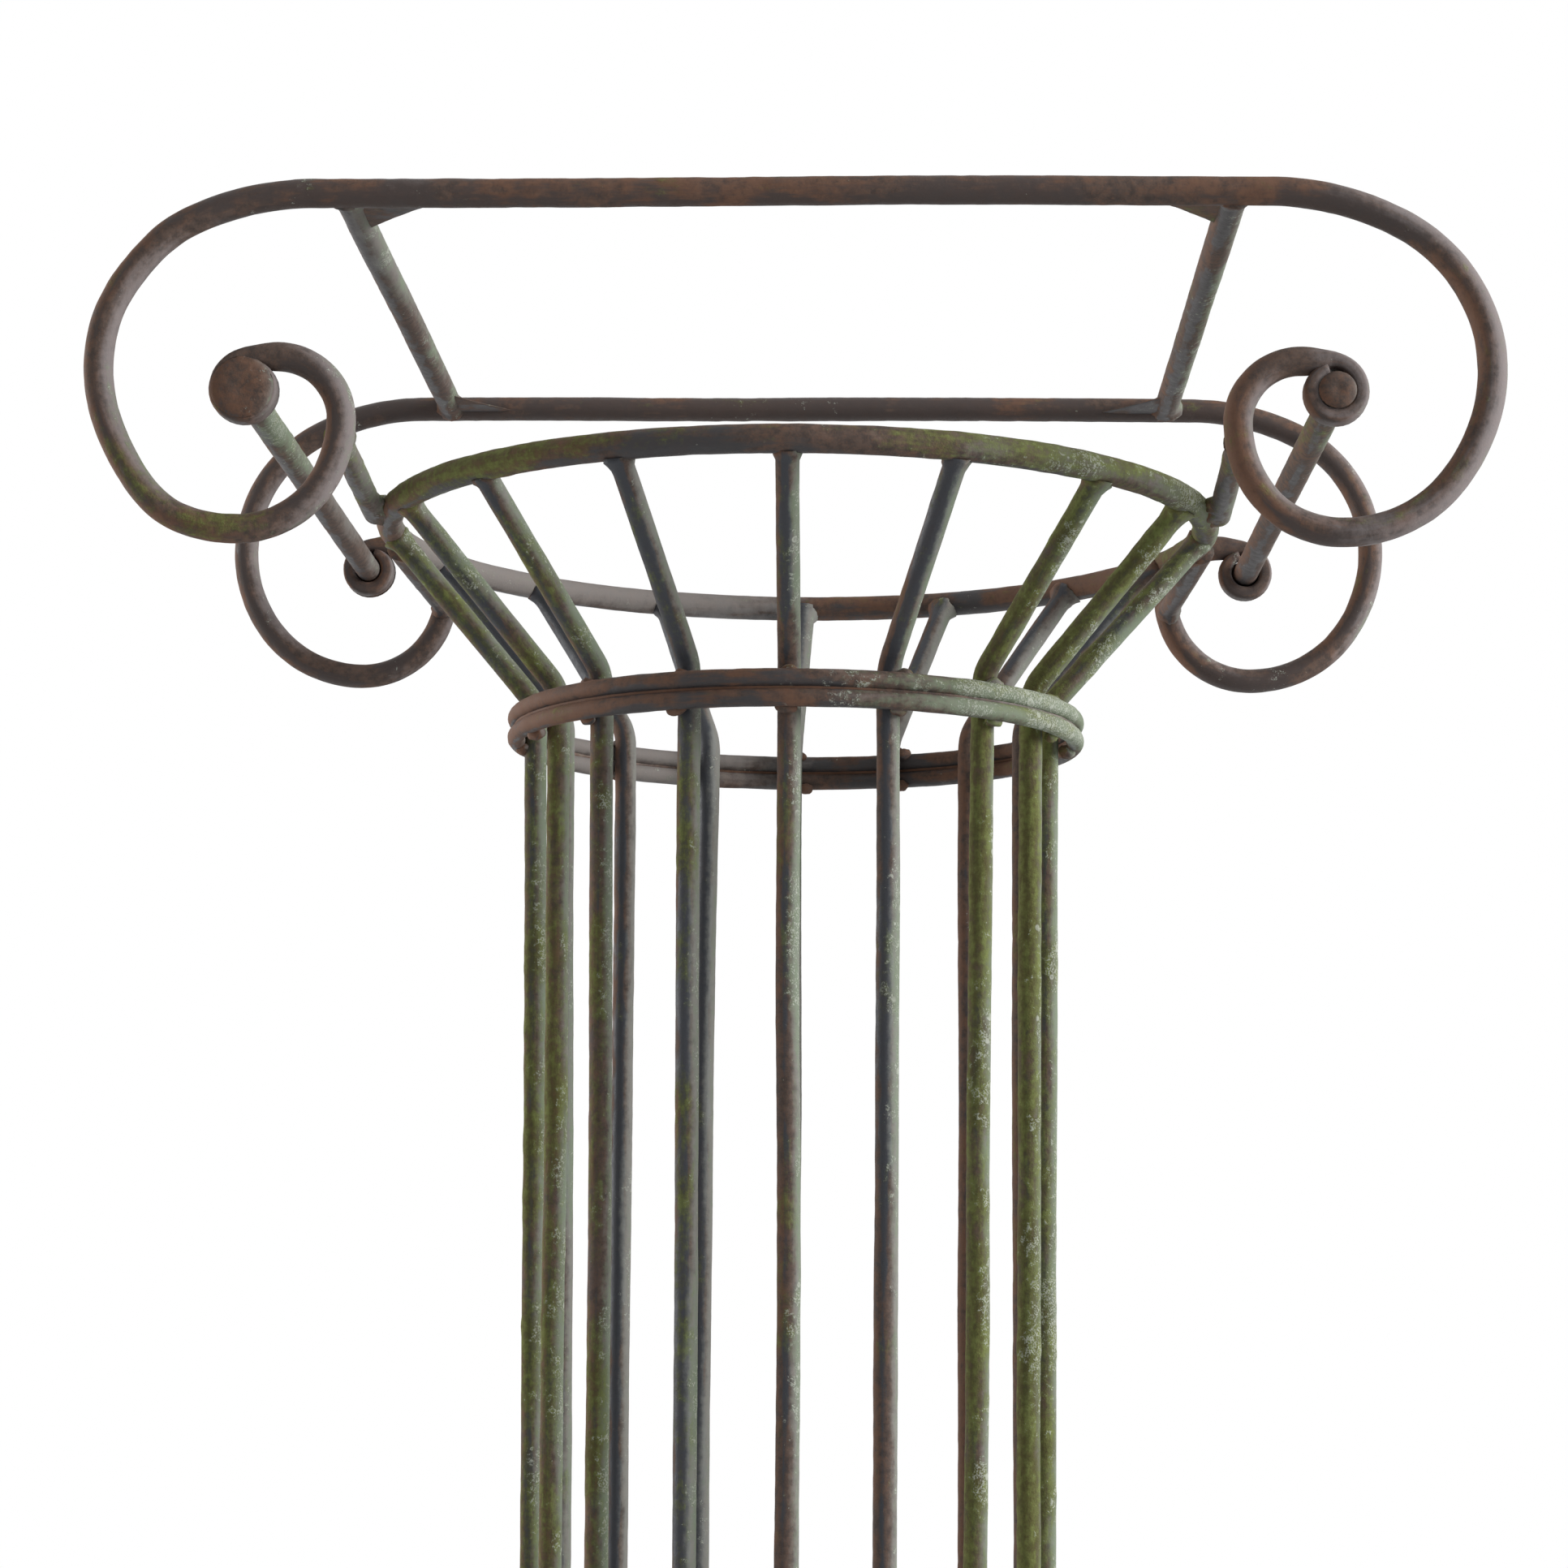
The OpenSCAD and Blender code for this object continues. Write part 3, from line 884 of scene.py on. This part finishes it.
# Numbers of sides round the rods, and spacings of the mesh along the shorter ones
ROD_SIDES, SEAM_SIDES, SCROLL_SIDES, EYE_SIDES = 20, 8, 28, 30
CARRY_SIDES, CROSSBAR_SIDES, WEDGE_SIDES, BEAD_SIDES = 22, 22, 26, 14
SCROLL_STEP, CARRY_STEP, CROSSBAR_STEP = 0.0018, 0.0016, 0.0020


def settings(context):
    """The sizes, and the start of every random draw."""
    return context.scene.column_sizes, context.scene.column_stage.seed


def rod_angle(count):
    """Angle about the column's axis of an upright rod, counted from the front."""
    return -math.pi / 2 + count * TURN / len(ROD_NODES)


def ring_weld(radius, height, leg):
    """A weld to a level ring of the heavier rod."""
    return (lambda points: ring_gap(points, radius, height, RING_D / 2)), leg


def volute_legs(sizes):
    """Lengths and turns from the bar's middle out round one volute to its tip."""
    under = math.pi - sizes.lead_turn - sizes.sweep_turn
    lead = sizes.curl_r + sizes.curl_lead
    quarter = math.pi / 2
    bends = [(sizes.lead_r, sizes.lead_turn), (sizes.sweep_r, sizes.sweep_turn),
             (sizes.under_r, under), (sizes.coil_low_r, quarter), (sizes.coil_top_r, quarter)]
    legs = [(sizes.bar_half, 0.0)] + [(r * turn, -turn) for r, turn in bends]
    legs += [(sizes.draw_len, 0.0), (lead * quarter, -quarter),
             (sizes.curl_r * sizes.curl_turn, -sizes.curl_turn)]
    return legs


def coil_centre(sizes):
    """Middle of the lower quarter of the coil, out from the axis and in height."""
    under = sizes.lead_turn + sizes.sweep_turn
    lead_sin, lead_cos = math.sin(sizes.lead_turn), math.cos(sizes.lead_turn)
    x = (sizes.bar_half + sizes.lead_r * lead_sin
         + sizes.sweep_r * (math.sin(under) - lead_sin) - sizes.under_r * math.sin(under))
    drop = (sizes.lead_r * (1 - lead_cos) + sizes.sweep_r * (lead_cos - math.cos(under))
            + sizes.under_r * (1 + math.cos(under)))
    return x, BAR_Z - drop + sizes.coil_low_r


class COLUMN_OT_upright_rods(bpy.types.Operator):
    """Builds the upright rods, each one length from the foot ring to the bell"""

    bl_idname = "column.upright_rods"
    bl_label = "Upright rods"

    def execute(self, context):
        sizes, seed = settings(context)
        neck_turn = (UPPER_NECK_Z + LOWER_NECK_Z) / 2 + sizes.turn_offset
        base_turn = (UPPER_BASE_Z + LOWER_BASE_Z) / 2 - sizes.turn_offset
        bell, bell_run = BELL_R - SHAFT_R, BELL_Z - neck_turn
        foot, foot_run = FOOT_R - SHAFT_R, base_turn - FOOT_Z
        bell_a, foot_a = math.atan2(bell, bell_run), math.atan2(foot, foot_run)
        bell_cut, foot_cut = (sizes.bend_r * math.tan(a / 2) for a in (bell_a, foot_a))
        buried = RING_D / 4
        legs = [(math.hypot(foot, foot_run) - foot_cut - buried, 0.0),
                (sizes.bend_r * foot_a, -foot_a),
                (neck_turn - bell_cut - base_turn - foot_cut, 0.0),
                (sizes.bend_r * bell_a, -bell_a),
                (math.hypot(bell, bell_run) - bell_cut - buried, 0.0)]
        start = (FOOT_R - buried * math.sin(foot_a), FOOT_Z + buried * math.cos(foot_a))
        for count, node in enumerate(ROD_NODES):
            around = rod_angle(count)
            side = (math.cos(around), math.sin(around), 0)
            line = plane_line(start, math.pi / 2 + foot_a, legs, sizes.mesh_step,
                              (0, 0, 0), side, (0, 0, 1))
            line = stray(line, sizes.sag, seed + 3 * count)
            damp, dark, dry, crusted, at_neck, lower = ROD_STATES[count]
            z = line.points[:, 2]
            heights = (FOOT_Z, FOOT_BEND_Z, LOWER_BEND_Z, UPPER_NECK_Z, BELL_Z)
            aside = np.interp(z, heights, (0, 0, lower / 1000, at_neck / 1000, 0))
            line.points = line.points + aside[:, None] * [1, 0, 0]
            flare = band_ease(0.0, 0.05, z - UPPER_NECK_Z)[:, None]
            rng = np.random.default_rng(seed + count)
            leg = sizes.weld_leg * rng.uniform(0.75, 1.35)
            welds = [ring_weld(BELL_R, BELL_Z, leg), ring_weld(FOOT_R, FOOT_Z, leg)]
            make_iron(node, "upright_rods", line, ROD_D / 2, ROD_SIDES, seed + 31 * count,
                      welds, damp=damp, dry=dry * (1 - flare),
                      dark=dark + 0.3 * flare * (1 - damp),
                      crusted=crusted * (0.5 + noise(line.points, 0.05, count)[:, None]))
        return {"FINISHED"}


class COLUMN_OT_rings(bpy.types.Operator):
    """Builds the bell ring, the paired bands and the foot ring"""

    bl_idname = "column.rings"
    bl_label = "Rings and bands"

    def execute(self, context):
        sizes, seed = settings(context)
        # Node, radius, height, rod diameter, sides, dampness and crusting of each ring
        rows = [("bell_ring", BELL_R, BELL_Z, RING_D, 28, BELL_DAMP, 0.0),
                ("upper_neck_band", BAND_R, UPPER_NECK_Z, BAND_D, 22, BAND_DAMP, 0.8),
                ("lower_neck_band", BAND_R, LOWER_NECK_Z, BAND_D, 22, BAND_DAMP, 0.8),
                ("upper_base_band", BAND_R, UPPER_BASE_Z, BAND_D, 22, BAND_DAMP, 0.3),
                ("lower_base_band", BAND_R, LOWER_BASE_Z, BAND_D, 22, BAND_DAMP, 0.3),
                ("foot_ring", FOOT_R, FOOT_Z, RING_D, 26, BELL_DAMP, 0.2)]
        for count, (node, radius, height, rod_d, sides, damps, crusted) in enumerate(rows):
            line = ring_line(radius, height, sizes.mesh_step)
            line = stray(line, sizes.sag / 3, seed + count)
            damp = round_column(line.points, damps)[:, None]
            behind = band_ease(-0.02, 0.10, line.points[:, 1])[:, None]
            left = band_ease(0.05, -0.05, line.points[:, 0])[:, None]
            make_iron(node, "rings", line, rod_d / 2, sides, seed + 57 * count, damp=damp,
                      crusted=crusted * damp, pale=0.35 * behind * left,
                      dry=0.15 + 0.5 * (1 - damp) * (1 - behind * left),
                      dark=0.12 + 0.15 * (1 - damp))
        for name, upper, lower in (("neck_seam", UPPER_NECK_Z, LOWER_NECK_Z),
                                   ("base_seam", UPPER_BASE_Z, LOWER_BASE_Z)):
            line = ring_line(BAND_R, (upper + lower) / 2, 2 * sizes.mesh_step)
            skin = Skin()
            add_rod(skin, line, sizes.seam_r, SEAM_SIDES, seed + 5, dry=1.0)
            skin.make(name, "rings", [])
        return {"FINISHED"}


class COLUMN_OT_scrolls(bpy.types.Operator):
    """Builds the two scrolls, each one length of rod from eye to eye"""

    bl_idname = "column.scrolls"
    bl_label = "Scrolls"

    def execute(self, context):
        sizes, seed = settings(context)
        for count, node in enumerate(("front_scroll", "back_scroll")):
            y = middle(node)[1]
            line = mirror_line(plane_line((0, 0), 0.0, volute_legs(sizes), SCROLL_STEP,
                                          (0, y, BAR_Z), (1, 0, 0), (0, 0, 1)))
            tip = line.run[-1] - np.abs(line.run)
            curl = sizes.curl_r * sizes.curl_turn + (sizes.curl_r + sizes.curl_lead) * math.pi / 2
            drawn = 1 - band_ease(curl - sizes.draw_len / 2, curl + sizes.draw_len, tip)
            thin = 1 - 0.25 * (1 - band_ease(0.0, 0.010, tip))
            thick = (SCROLL_D / 2 + drawn * (sizes.curl_t / 2 - SCROLL_D / 2)) * thin
            wide = SCROLL_D / 2 + drawn * (sizes.curl_w / 2 - SCROLL_D / 2)
            line = stray(line, sizes.sag * 1.6, seed + 90 * count)
            line.points = line.points + hand_bend(line.points) * (1 - count)
            bar = band_ease(0.03, 0.008, BAR_Z - line.points[:, 2])[:, None]
            right = band_ease(0.19, 0.24, line.points[:, 0])[:, None] * (1 - count)
            make_iron(node, "scrolls", line, SCROLL_D / 2, SCROLL_SIDES, seed + 77 * count + 5,
                      dry=0.42 + 0.22 * bar - 0.30 * right,
                      damp=scroll_damp(line, count)[:, None],
                      pale=0.12 + 0.24 * right - 0.16 * bar - 0.12 * count,
                      dark=0.10 + 0.34 * bar + 0.26 * count,
                      thick=thick, wide=wide, square=2 + 1.6 * drawn)
        return {"FINISHED"}


def mirror_line(half):
    """A line and its mirror image in the plane X = 0, as one line from the far
    left to the far right."""
    flip, back = np.array([-1.0, 1.0, 1.0]), slice(None, 0, -1)
    return Line(np.concatenate([half.points[back] * flip, half.points]),
                np.concatenate([-half.heading[back] * flip, half.heading]),
                np.concatenate([half.inward[back] * flip, half.inward]),
                np.concatenate([half.across[back], half.across]),
                np.concatenate([-half.run[back], half.run]))


# How far the front scroll's bar drops at the left, its left volute is drawn in, and
# both its volutes hang low
BAR_DROP, VOLUTE_IN, VOLUTE_LOW = 0.0026, 0.0040, 0.0026


def hand_bend(points):
    """How the front scroll strays from true."""
    x, drop = points[:, 0], BAR_Z - points[:, 2]
    left = band_ease(0.10, -0.19, x)
    aside = VOLUTE_IN * band_ease(-0.235, -0.268, x)
    down = (BAR_DROP * left * band_ease(0.06, 0.01, drop)
            + VOLUTE_LOW * band_ease(0.09, 0.13, drop))
    return np.stack([aside, 0 * x, -down], -1)


def scroll_damp(line, count):
    """Moss sits on the lower part of the front left volute, and hardly elsewhere."""
    low = band_ease(0.06, 0.12, BAR_Z - line.points[:, 2])
    left = band_ease(-0.18, -0.21, line.points[:, 0])
    return 0.04 + low * (0.30 * left + 0.04) * (1 - count)


class COLUMN_OT_eye_rods(bpy.types.Operator):
    """Builds the rods through the eyes of the scrolls, with a head on each end"""

    bl_idname = "column.eye_rods"
    bl_label = "Eye rods"

    def execute(self, context):
        sizes, seed = settings(context)
        for count, (node, head_r) in enumerate(
                (("left_eye_rod", sizes.disc_r), ("right_eye_rod", sizes.lump_r))):
            x = (-1, 1)[count] * EYE_X
            low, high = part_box(node)
            half = (high[1] - low[1]) / 2
            head_h = half - SCROLL_Y - sizes.curl_w / 2
            line, radius = headed_line(x, half, head_h, head_r, sizes.eye_rod_d / 2)
            y = line.points[:, 1]
            head = band_ease(-0.004, 0.002, np.abs(y) - SCROLL_Y)
            green = band_ease(0.05, -0.15, y) * (1 - head)
            make_iron(node, "ties", line, radius, EYE_SIDES, seed + 61 * count + 9,
                      dry=0.2 + 0.5 * head[:, None], damp=(0.06 + 0.62 * green)[:, None],
                      crusted=0.25 * green[:, None])
        return {"FINISHED"}


def headed_line(x, half, head_h, head_r, rod_r):
    """A straight rod along Y with a low dome on each end. Over the dome the radius
    is head_r times sin(t), while the depth goes as 1 - cos(t), with a dimple."""
    t = np.linspace(0.06, math.pi / 2, 12)
    dome_y, dome_r = -half + head_h * (1 - np.cos(t)), head_r * np.sin(t)
    dome_y = dome_y + 0.0007 * np.exp(-((dome_r / (0.35 * head_r)) ** 2))
    neck_y, neck_r = -half + head_h * np.array([1.08, 1.15]), np.array([0.8 * head_r, rod_r])
    shank = np.linspace(-half + head_h * 1.6, 0, 90)
    y = np.concatenate([dome_y, neck_y, shank])
    radius = np.concatenate([dome_r, neck_r, np.full(len(shank), rod_r)])
    y = np.concatenate([y, -y[-2::-1]])
    radius = np.concatenate([radius, radius[-2::-1]])
    points = np.stack([np.full(len(y), x), y, np.full(len(y), EYE_Z)], -1)
    return steady_line(points, (0.0, 1.0, 0.0), (1.0, 0.0, 0.0), (0.0, 0.0, -1.0),
                       y + half), radius


# Depth that a carry rod's end is sunk into the bell ring's weld
CARRY_SUNK = 0.004


class COLUMN_OT_carry_rods(bpy.types.Operator):
    """Builds the short rods that carry the coils on the side of the bell ring"""

    bl_idname = "column.carry_rods"
    bl_label = "Carry rods"

    def execute(self, context):
        sizes, seed = settings(context)
        coil_x, coil_z = coil_centre(sizes)
        start_x = coil_x - math.sqrt(sizes.coil_low_r**2 - (coil_z - BELL_Z) ** 2)
        seat_r = BELL_R + (RING_D + sizes.carry_d) / 2 - CARRY_SUNK
        seat = (seat_r * math.cos(sizes.carry_seat), seat_r * math.sin(sizes.carry_seat))
        rows = itertools.product((("left", -1), ("right", 1)), (("front", -1), ("back", 1)))
        for count, ((side, sx), (end, sy)) in enumerate(rows):
            node = f"{end}_{side}_carry_rod"
            centre = (sx * coil_x, sy * SCROLL_Y, coil_z)
            line = straight_line((sx * start_x, sy * (SCROLL_Y - SCROLL_D / 4), BELL_Z),
                                 (sx * seat[0], sy * seat[1], BELL_Z), CARRY_STEP, (0, 0, 1))
            welds = [ring_weld(BELL_R, BELL_Z, sizes.weld_leg),
                     (lambda points: coil_gap(points, centre, sizes.coil_low_r, SCROLL_D / 2),
                      sizes.weld_leg)]
            make_iron(node, "ties", line, sizes.carry_d / 2, CARRY_SIDES, seed + 19 * count,
                      welds, damp=0.62 if sy < 0 else 0.25)
        return {"FINISHED"}


# How much a crossbar lies lower, ends shorter and is thinner at its ends than the
# scrolls' middles and its own rod would have it, so that its weld covers it
CROSSBAR_LOW, CROSSBAR_SHORT, CROSSBAR_DRESSED = 0.0004, 0.001, 0.0005


class COLUMN_OT_crossbars(bpy.types.Operator):
    """Builds the crossbars between the scrolls' bars, with their wedge feet"""

    bl_idname = "column.crossbars"
    bl_label = "Crossbars"

    def execute(self, context):
        sizes, seed = settings(context)
        tie_r = CROSSBAR_D / 2
        for count, (node, sx) in enumerate((("left_crossbar", -1), ("right_crossbar", 1))):
            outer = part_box(node)[1][0] if sx > 0 else -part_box(node)[0][0]
            x = sx * (outer - tie_r)
            end = SCROLL_Y - CROSSBAR_SHORT
            welds = [(lambda points: bar_gap(points, -SCROLL_Y, BAR_Z, SCROLL_D / 2),
                      sizes.weld_leg),
                     (lambda points: bar_gap(points, SCROLL_Y, BAR_Z, SCROLL_D / 2),
                      sizes.weld_leg)]
            skin, z = Skin(), BAR_Z - CROSSBAR_LOW
            line = straight_line((x, -end, z), (x, end, z), CROSSBAR_STEP, (0, 0, 1))
            line = stray(line, sizes.sag / 2, seed + count)
            inside = band_ease(-0.006, 0.0, np.abs(line.points[:, 1]) - end)
            drop = -hand_bend(np.array([[x, 0, BAR_Z]]))[0, 2]
            line.points[:, 2] -= drop * np.clip(-line.points[:, 1] / SCROLL_Y, 0, 1)
            near = band_ease(0.0, 1.0, (SCROLL_Y - np.abs(line.points[:, 1])) / 0.16)
            tie_radius = tie_r - CROSSBAR_DRESSED * inside
            add_rod(skin, line, tie_radius, CROSSBAR_SIDES, seed + 43 * count, welds,
                    damp=(0.20 + 0.30 * near * (1 + sx) / 2)[:, None], crusted=0.25)
            for sy in (-1, 1):
                add_wedge(skin, sizes, x, sx, sy, drop * (sy < 0), seed + 7 * count + sy)
            skin.make(node + "_iron", "ties", [node])
        return {"FINISHED"}


# Radius at which the grain is laid round a wedge foot
WEDGE_GRAIN_R = 0.004


def add_wedge(skin, sizes, x, sx, sy, drop, seed):
    """A three-cornered gusset between a crossbar and a scroll's bar. It runs from
    the bar's end (t = 0) to the crossbar's end (t = 1) as a fan of straight rods
    from its hidden corner: each has the length between the two legs at its angle,
    and its section is a flat bar with rounded edges."""
    t = np.linspace(0, 1, 26)
    face = SCROLL_Y - SCROLL_D / 2
    foot = np.array([x - sx * (CROSSBAR_D / 2 + sizes.wedge_len), sy * face])
    top = np.array([x, sy * (face - CROSSBAR_D / 2 - sizes.wedge_run)])
    corner = np.array([x, sy * (SCROLL_Y - SCROLL_D / 4)])
    edge = foot + t[:, None] * (top - foot)
    hollow = 0.05 * np.sin(math.pi * t)[:, None] * (corner - edge)
    edge = edge + hollow
    middle_xy = (edge + corner) / 2
    reach = np.linalg.norm(edge - corner, axis=1) / 2
    inward = (edge - corner) / (2 * reach[:, None])
    z = BAR_Z - drop - sizes.wedge_low + sizes.wedge_t / 2
    points = np.concatenate([middle_xy, np.full((len(t), 1), z)], 1)
    inward = np.concatenate([inward, np.zeros((len(t), 1))], 1)
    heading = np.gradient(points, axis=0)
    heading /= np.linalg.norm(heading, axis=1, keepdims=True)
    up = np.array([0.0, 0.0, 1.0])
    across = np.broadcast_to(up if np.dot(np.cross(heading[0], inward[0]), up) > 0 else -up,
                             points.shape)
    wide = sizes.wedge_t / 2 * (0.8 + 0.2 * np.sin(math.pi * np.clip(t, 0.08, 0.92)))
    line = Line(points, heading, inward, across, t * sizes.wedge_run)
    add_rod(skin, line, WEDGE_GRAIN_R, WEDGE_SIDES, seed + 400, dry=0.4, pale=-0.35 * (sy > 0),
            damp=(0.42 + 0.2 * (sx > 0)) * (sy < 0), thick=reach, wide=wide, square=3.0)


# Least and greatest size of a bead, and how far it may sit to one side, in radians
BEAD_LEAST, BEAD_MOST, BEAD_ASIDE = 0.0026, 0.0040, 0.012


class COLUMN_OT_weld_beads(bpy.types.Operator):
    """Builds the tack welds that hold the bands to the upright rods"""

    bl_idname = "column.weld_beads"
    bl_label = "Weld beads"

    def execute(self, context):
        seed = context.scene.column_stage.seed
        rng = np.random.default_rng(seed)
        for name, upper, lower in (("neck_weld_beads", UPPER_NECK_Z, LOWER_NECK_Z),
                                   ("base_weld_beads", UPPER_BASE_Z, LOWER_BASE_Z)):
            skin = Skin()
            for count in range(len(ROD_NODES)):
                around = rod_angle(count)
                for z, lift in ((upper, 1), (lower, -1)):
                    size = rng.uniform(BEAD_LEAST, BEAD_MOST)
                    turn = around + rng.uniform(-BEAD_ASIDE, BEAD_ASIDE)
                    radius = SHAFT_R + ROD_D / 2 + size * 0.25
                    centre = (radius * math.cos(turn), radius * math.sin(turn),
                              z + lift * (BAND_D / 2 - 0.0006))
                    add_bead(skin, centre, turn, size, seed + count * 2 + lift)
            skin.make(name, "rings", [])
        return {"FINISHED"}


def add_bead(skin, centre, turn, size, seed):
    """A lump of weld metal: an ellipsoid, longer across the rod than it is high.
    Along its length its radius goes as the sine from pole to pole."""
    t = np.linspace(0.12, math.pi - 0.12, 13)
    heading = np.array([-math.sin(turn), math.cos(turn), 0.0])
    outward = np.array([math.cos(turn), math.sin(turn), 0.0])
    points = np.array(centre) - np.cos(t)[:, None] * heading * size * 1.35
    line = steady_line(points, heading, outward, np.cross(heading, outward), size * t)
    grid, normal = rod_grid(line, size * np.sin(t), size * 0.8 * np.sin(t), BEAD_SIDES)
    lump = 0.28 * size * rough(grid, 0.003, 2, seed)
    growth, metal = weathering(grid, normal, round_column(grid, BAND_DAMP), weld=1.0, seed=seed)
    skin.add_grid(grid + normal * lump[..., None], growth, metal,
                  along_rod(line, BEAD_SIDES, size), False)


class COLUMN_OT_stage(bpy.types.Operator):
    """Sets the floor, the lights and the camera"""

    bl_idname = "column.stage"
    bl_label = "Stage"

    def execute(self, context):
        scene, stage = context.scene, context.scene.column_stage
        scene.view_settings.view_transform = "Standard"
        make_floor(stage.floor_tone)
        make_world(scene, stage.sky)
        add_light("key light", stage.key, size=2.0, place=(3.2, -1.0, 3.0), aim_z=1.45)
        add_light("rim light", stage.rim, size=1.8, place=(-2.9, 0.9, 2.3), aim_z=1.4)
        make_camera(scene, stage)
        return {"FINISHED"}


SKY_COLOUR = (0.97, 0.985, 1.0, 1)


def seen_plainly(tree):
    """1 on rays from the camera, or off a gloss or through a clear body, else 0."""
    path = tree.nodes.new("ShaderNodeLightPath")
    seen = maths(tree, "MAXIMUM", path.outputs["Is Camera Ray"], path.outputs["Is Glossy Ray"])
    return maths(tree, "MAXIMUM", seen, path.outputs["Is Transmission Ray"])


def mix_shaders(tree, factor, a, b, output):
    """Feeds an output with shader a where the factor is 0 and shader b where it is 1."""
    mix = tree.nodes.new("ShaderNodeMixShader")
    for value, socket in ((factor, mix.inputs[0]), (a, mix.inputs[1]), (b, mix.inputs[2]),
                          (mix.outputs[0], output.inputs["Surface"])):
        link_in(tree, value, socket)


def make_world(scene, strength):
    """Even light from all round, and plain white wherever the camera, a gloss or a
    clear body looks."""
    world = bpy.data.worlds.new("studio")
    scene.world = world
    world.use_nodes = True
    tree = world.node_tree
    even, white = tree.nodes["Background"], tree.nodes.new("ShaderNodeBackground")
    even.inputs["Color"].default_value = SKY_COLOUR
    even.inputs["Strength"].default_value = strength
    white.inputs["Color"].default_value = (1, 1, 1, 1)
    mix_shaders(tree, seen_plainly(tree), even.outputs[0], white.outputs[0],
                tree.nodes["World Output"])


# Distances from the column's middle between which the floor fades into the backdrop,
# half its side, and the light that it adds to itself where it is seen
FLOOR_NEAR, FLOOR_FAR = 0.45, 1.7
FLOOR_HALF = 14.0
FLOOR_GLOW = 0.3


def make_floor(tone):
    """A wide, plain, pale floor at the ground, which turns as white as the backdrop
    away from the column and keeps the column's shadow near it."""
    mesh = bpy.data.meshes.new("floor")
    signs = ((-1, -1), (1, -1), (1, 1), (-1, 1))
    corners = [(x * FLOOR_HALF, y * FLOOR_HALF, 0) for x, y in signs]
    mesh.from_pydata(corners, [], [(0, 1, 2, 3)])
    floor = bpy.data.objects.new("floor", mesh)
    bpy.context.scene.collection.objects.link(floor)
    material, tree, shader = new_material("pale floor", 0.1)
    shader["Base Color"].default_value = (tone, tone, tone, 1)
    shader["Roughness"].default_value = 0.9
    seen = seen_plainly(tree)
    away = tree.nodes.new("ShaderNodeVectorMath")
    away.operation = "LENGTH"
    tree.links.new(object_place(tree), away.inputs[0])
    faded = between(tree, away.outputs["Value"], FLOOR_NEAR, FLOOR_FAR)
    glow, white = (tree.nodes.new("ShaderNodeEmission") for _ in range(2))
    link_in(tree, times(tree, seen, FLOOR_GLOW), glow.inputs["Strength"])
    near = tree.nodes.new("ShaderNodeAddShader")
    tree.links.new(tree.nodes["Principled BSDF"].outputs[0], near.inputs[0])
    tree.links.new(glow.outputs[0], near.inputs[1])
    mix_shaders(tree, times(tree, seen, faded), near.outputs[0], white.outputs[0],
                tree.nodes["Material Output"])
    mesh.materials.append(material)


def add_light(name, power, size, place, aim_z):
    """A square, soft light that looks at a point on the column's axis."""
    lamp = bpy.data.lights.new(name, "AREA")
    lamp.energy, lamp.size = power, size
    light = bpy.data.objects.new(name, lamp)
    bpy.context.scene.collection.objects.link(light)
    turn = (Vector((0, 0, aim_z)) - Vector(place)).to_track_quat("-Z", "Y")
    light.matrix_world = Matrix.Translation(place) @ turn.to_matrix().to_4x4()


def make_camera(scene, stage):
    """A camera that looks along +Y, pitched up, turned left and rolled a little."""
    data = bpy.data.cameras.new("camera")
    data.lens, data.sensor_width = stage.lens, 36.0
    data.clip_start, data.clip_end = 0.05, 100
    camera = bpy.data.objects.new("camera", data)
    scene.collection.objects.link(camera)
    turn = (Matrix.Rotation(stage.yaw, 4, "Z") @ Matrix.Rotation(math.pi / 2 + stage.pitch, 4, "X")
            @ Matrix.Rotation(stage.roll, 4, "Z"))
    camera.matrix_world = Matrix.Translation(stage.eye) @ turn
    scene.camera = camera


# ---------------------------------------------------------------- panel and main

OPERATORS = (COLUMN_OT_upright_rods, COLUMN_OT_rings, COLUMN_OT_scrolls, COLUMN_OT_eye_rods,
             COLUMN_OT_carry_rods, COLUMN_OT_crossbars, COLUMN_OT_weld_beads, COLUMN_OT_stage)


class COLUMN_PT_panel(bpy.types.Panel):
    """Lists the steps that build the column, and their settings"""

    bl_idname = "COLUMN_PT_panel"
    bl_label = "Wirework column"
    bl_space_type = "VIEW_3D"
    bl_region_type = "UI"
    bl_category = "Column"

    def draw(self, context):
        for operator in OPERATORS:
            self.layout.operator(operator.bl_idname)
        for label, group in SETTINGS.items():
            box = self.layout.box()
            for name in group.__annotations__:
                box.prop(getattr(context.scene, label), name)


CLASSES = (*SETTINGS.values(), *OPERATORS, COLUMN_PT_panel)


def register():
    for cls in CLASSES:
        bpy.utils.register_class(cls)
    for label, group in SETTINGS.items():
        setattr(bpy.types.Scene, label, PointerProperty(type=group))


def unregister():
    for label in SETTINGS:
        delattr(bpy.types.Scene, label)
    for cls in reversed(CLASSES):
        bpy.utils.unregister_class(cls)


def main():
    """Builds everything in order."""
    register()
    bpy.ops.column.upright_rods()
    bpy.ops.column.rings()
    bpy.ops.column.scrolls()
    bpy.ops.column.eye_rods()
    bpy.ops.column.carry_rods()
    bpy.ops.column.crossbars()
    bpy.ops.column.weld_beads()
    bpy.ops.column.stage()


if __name__ == "__main__":
    main()
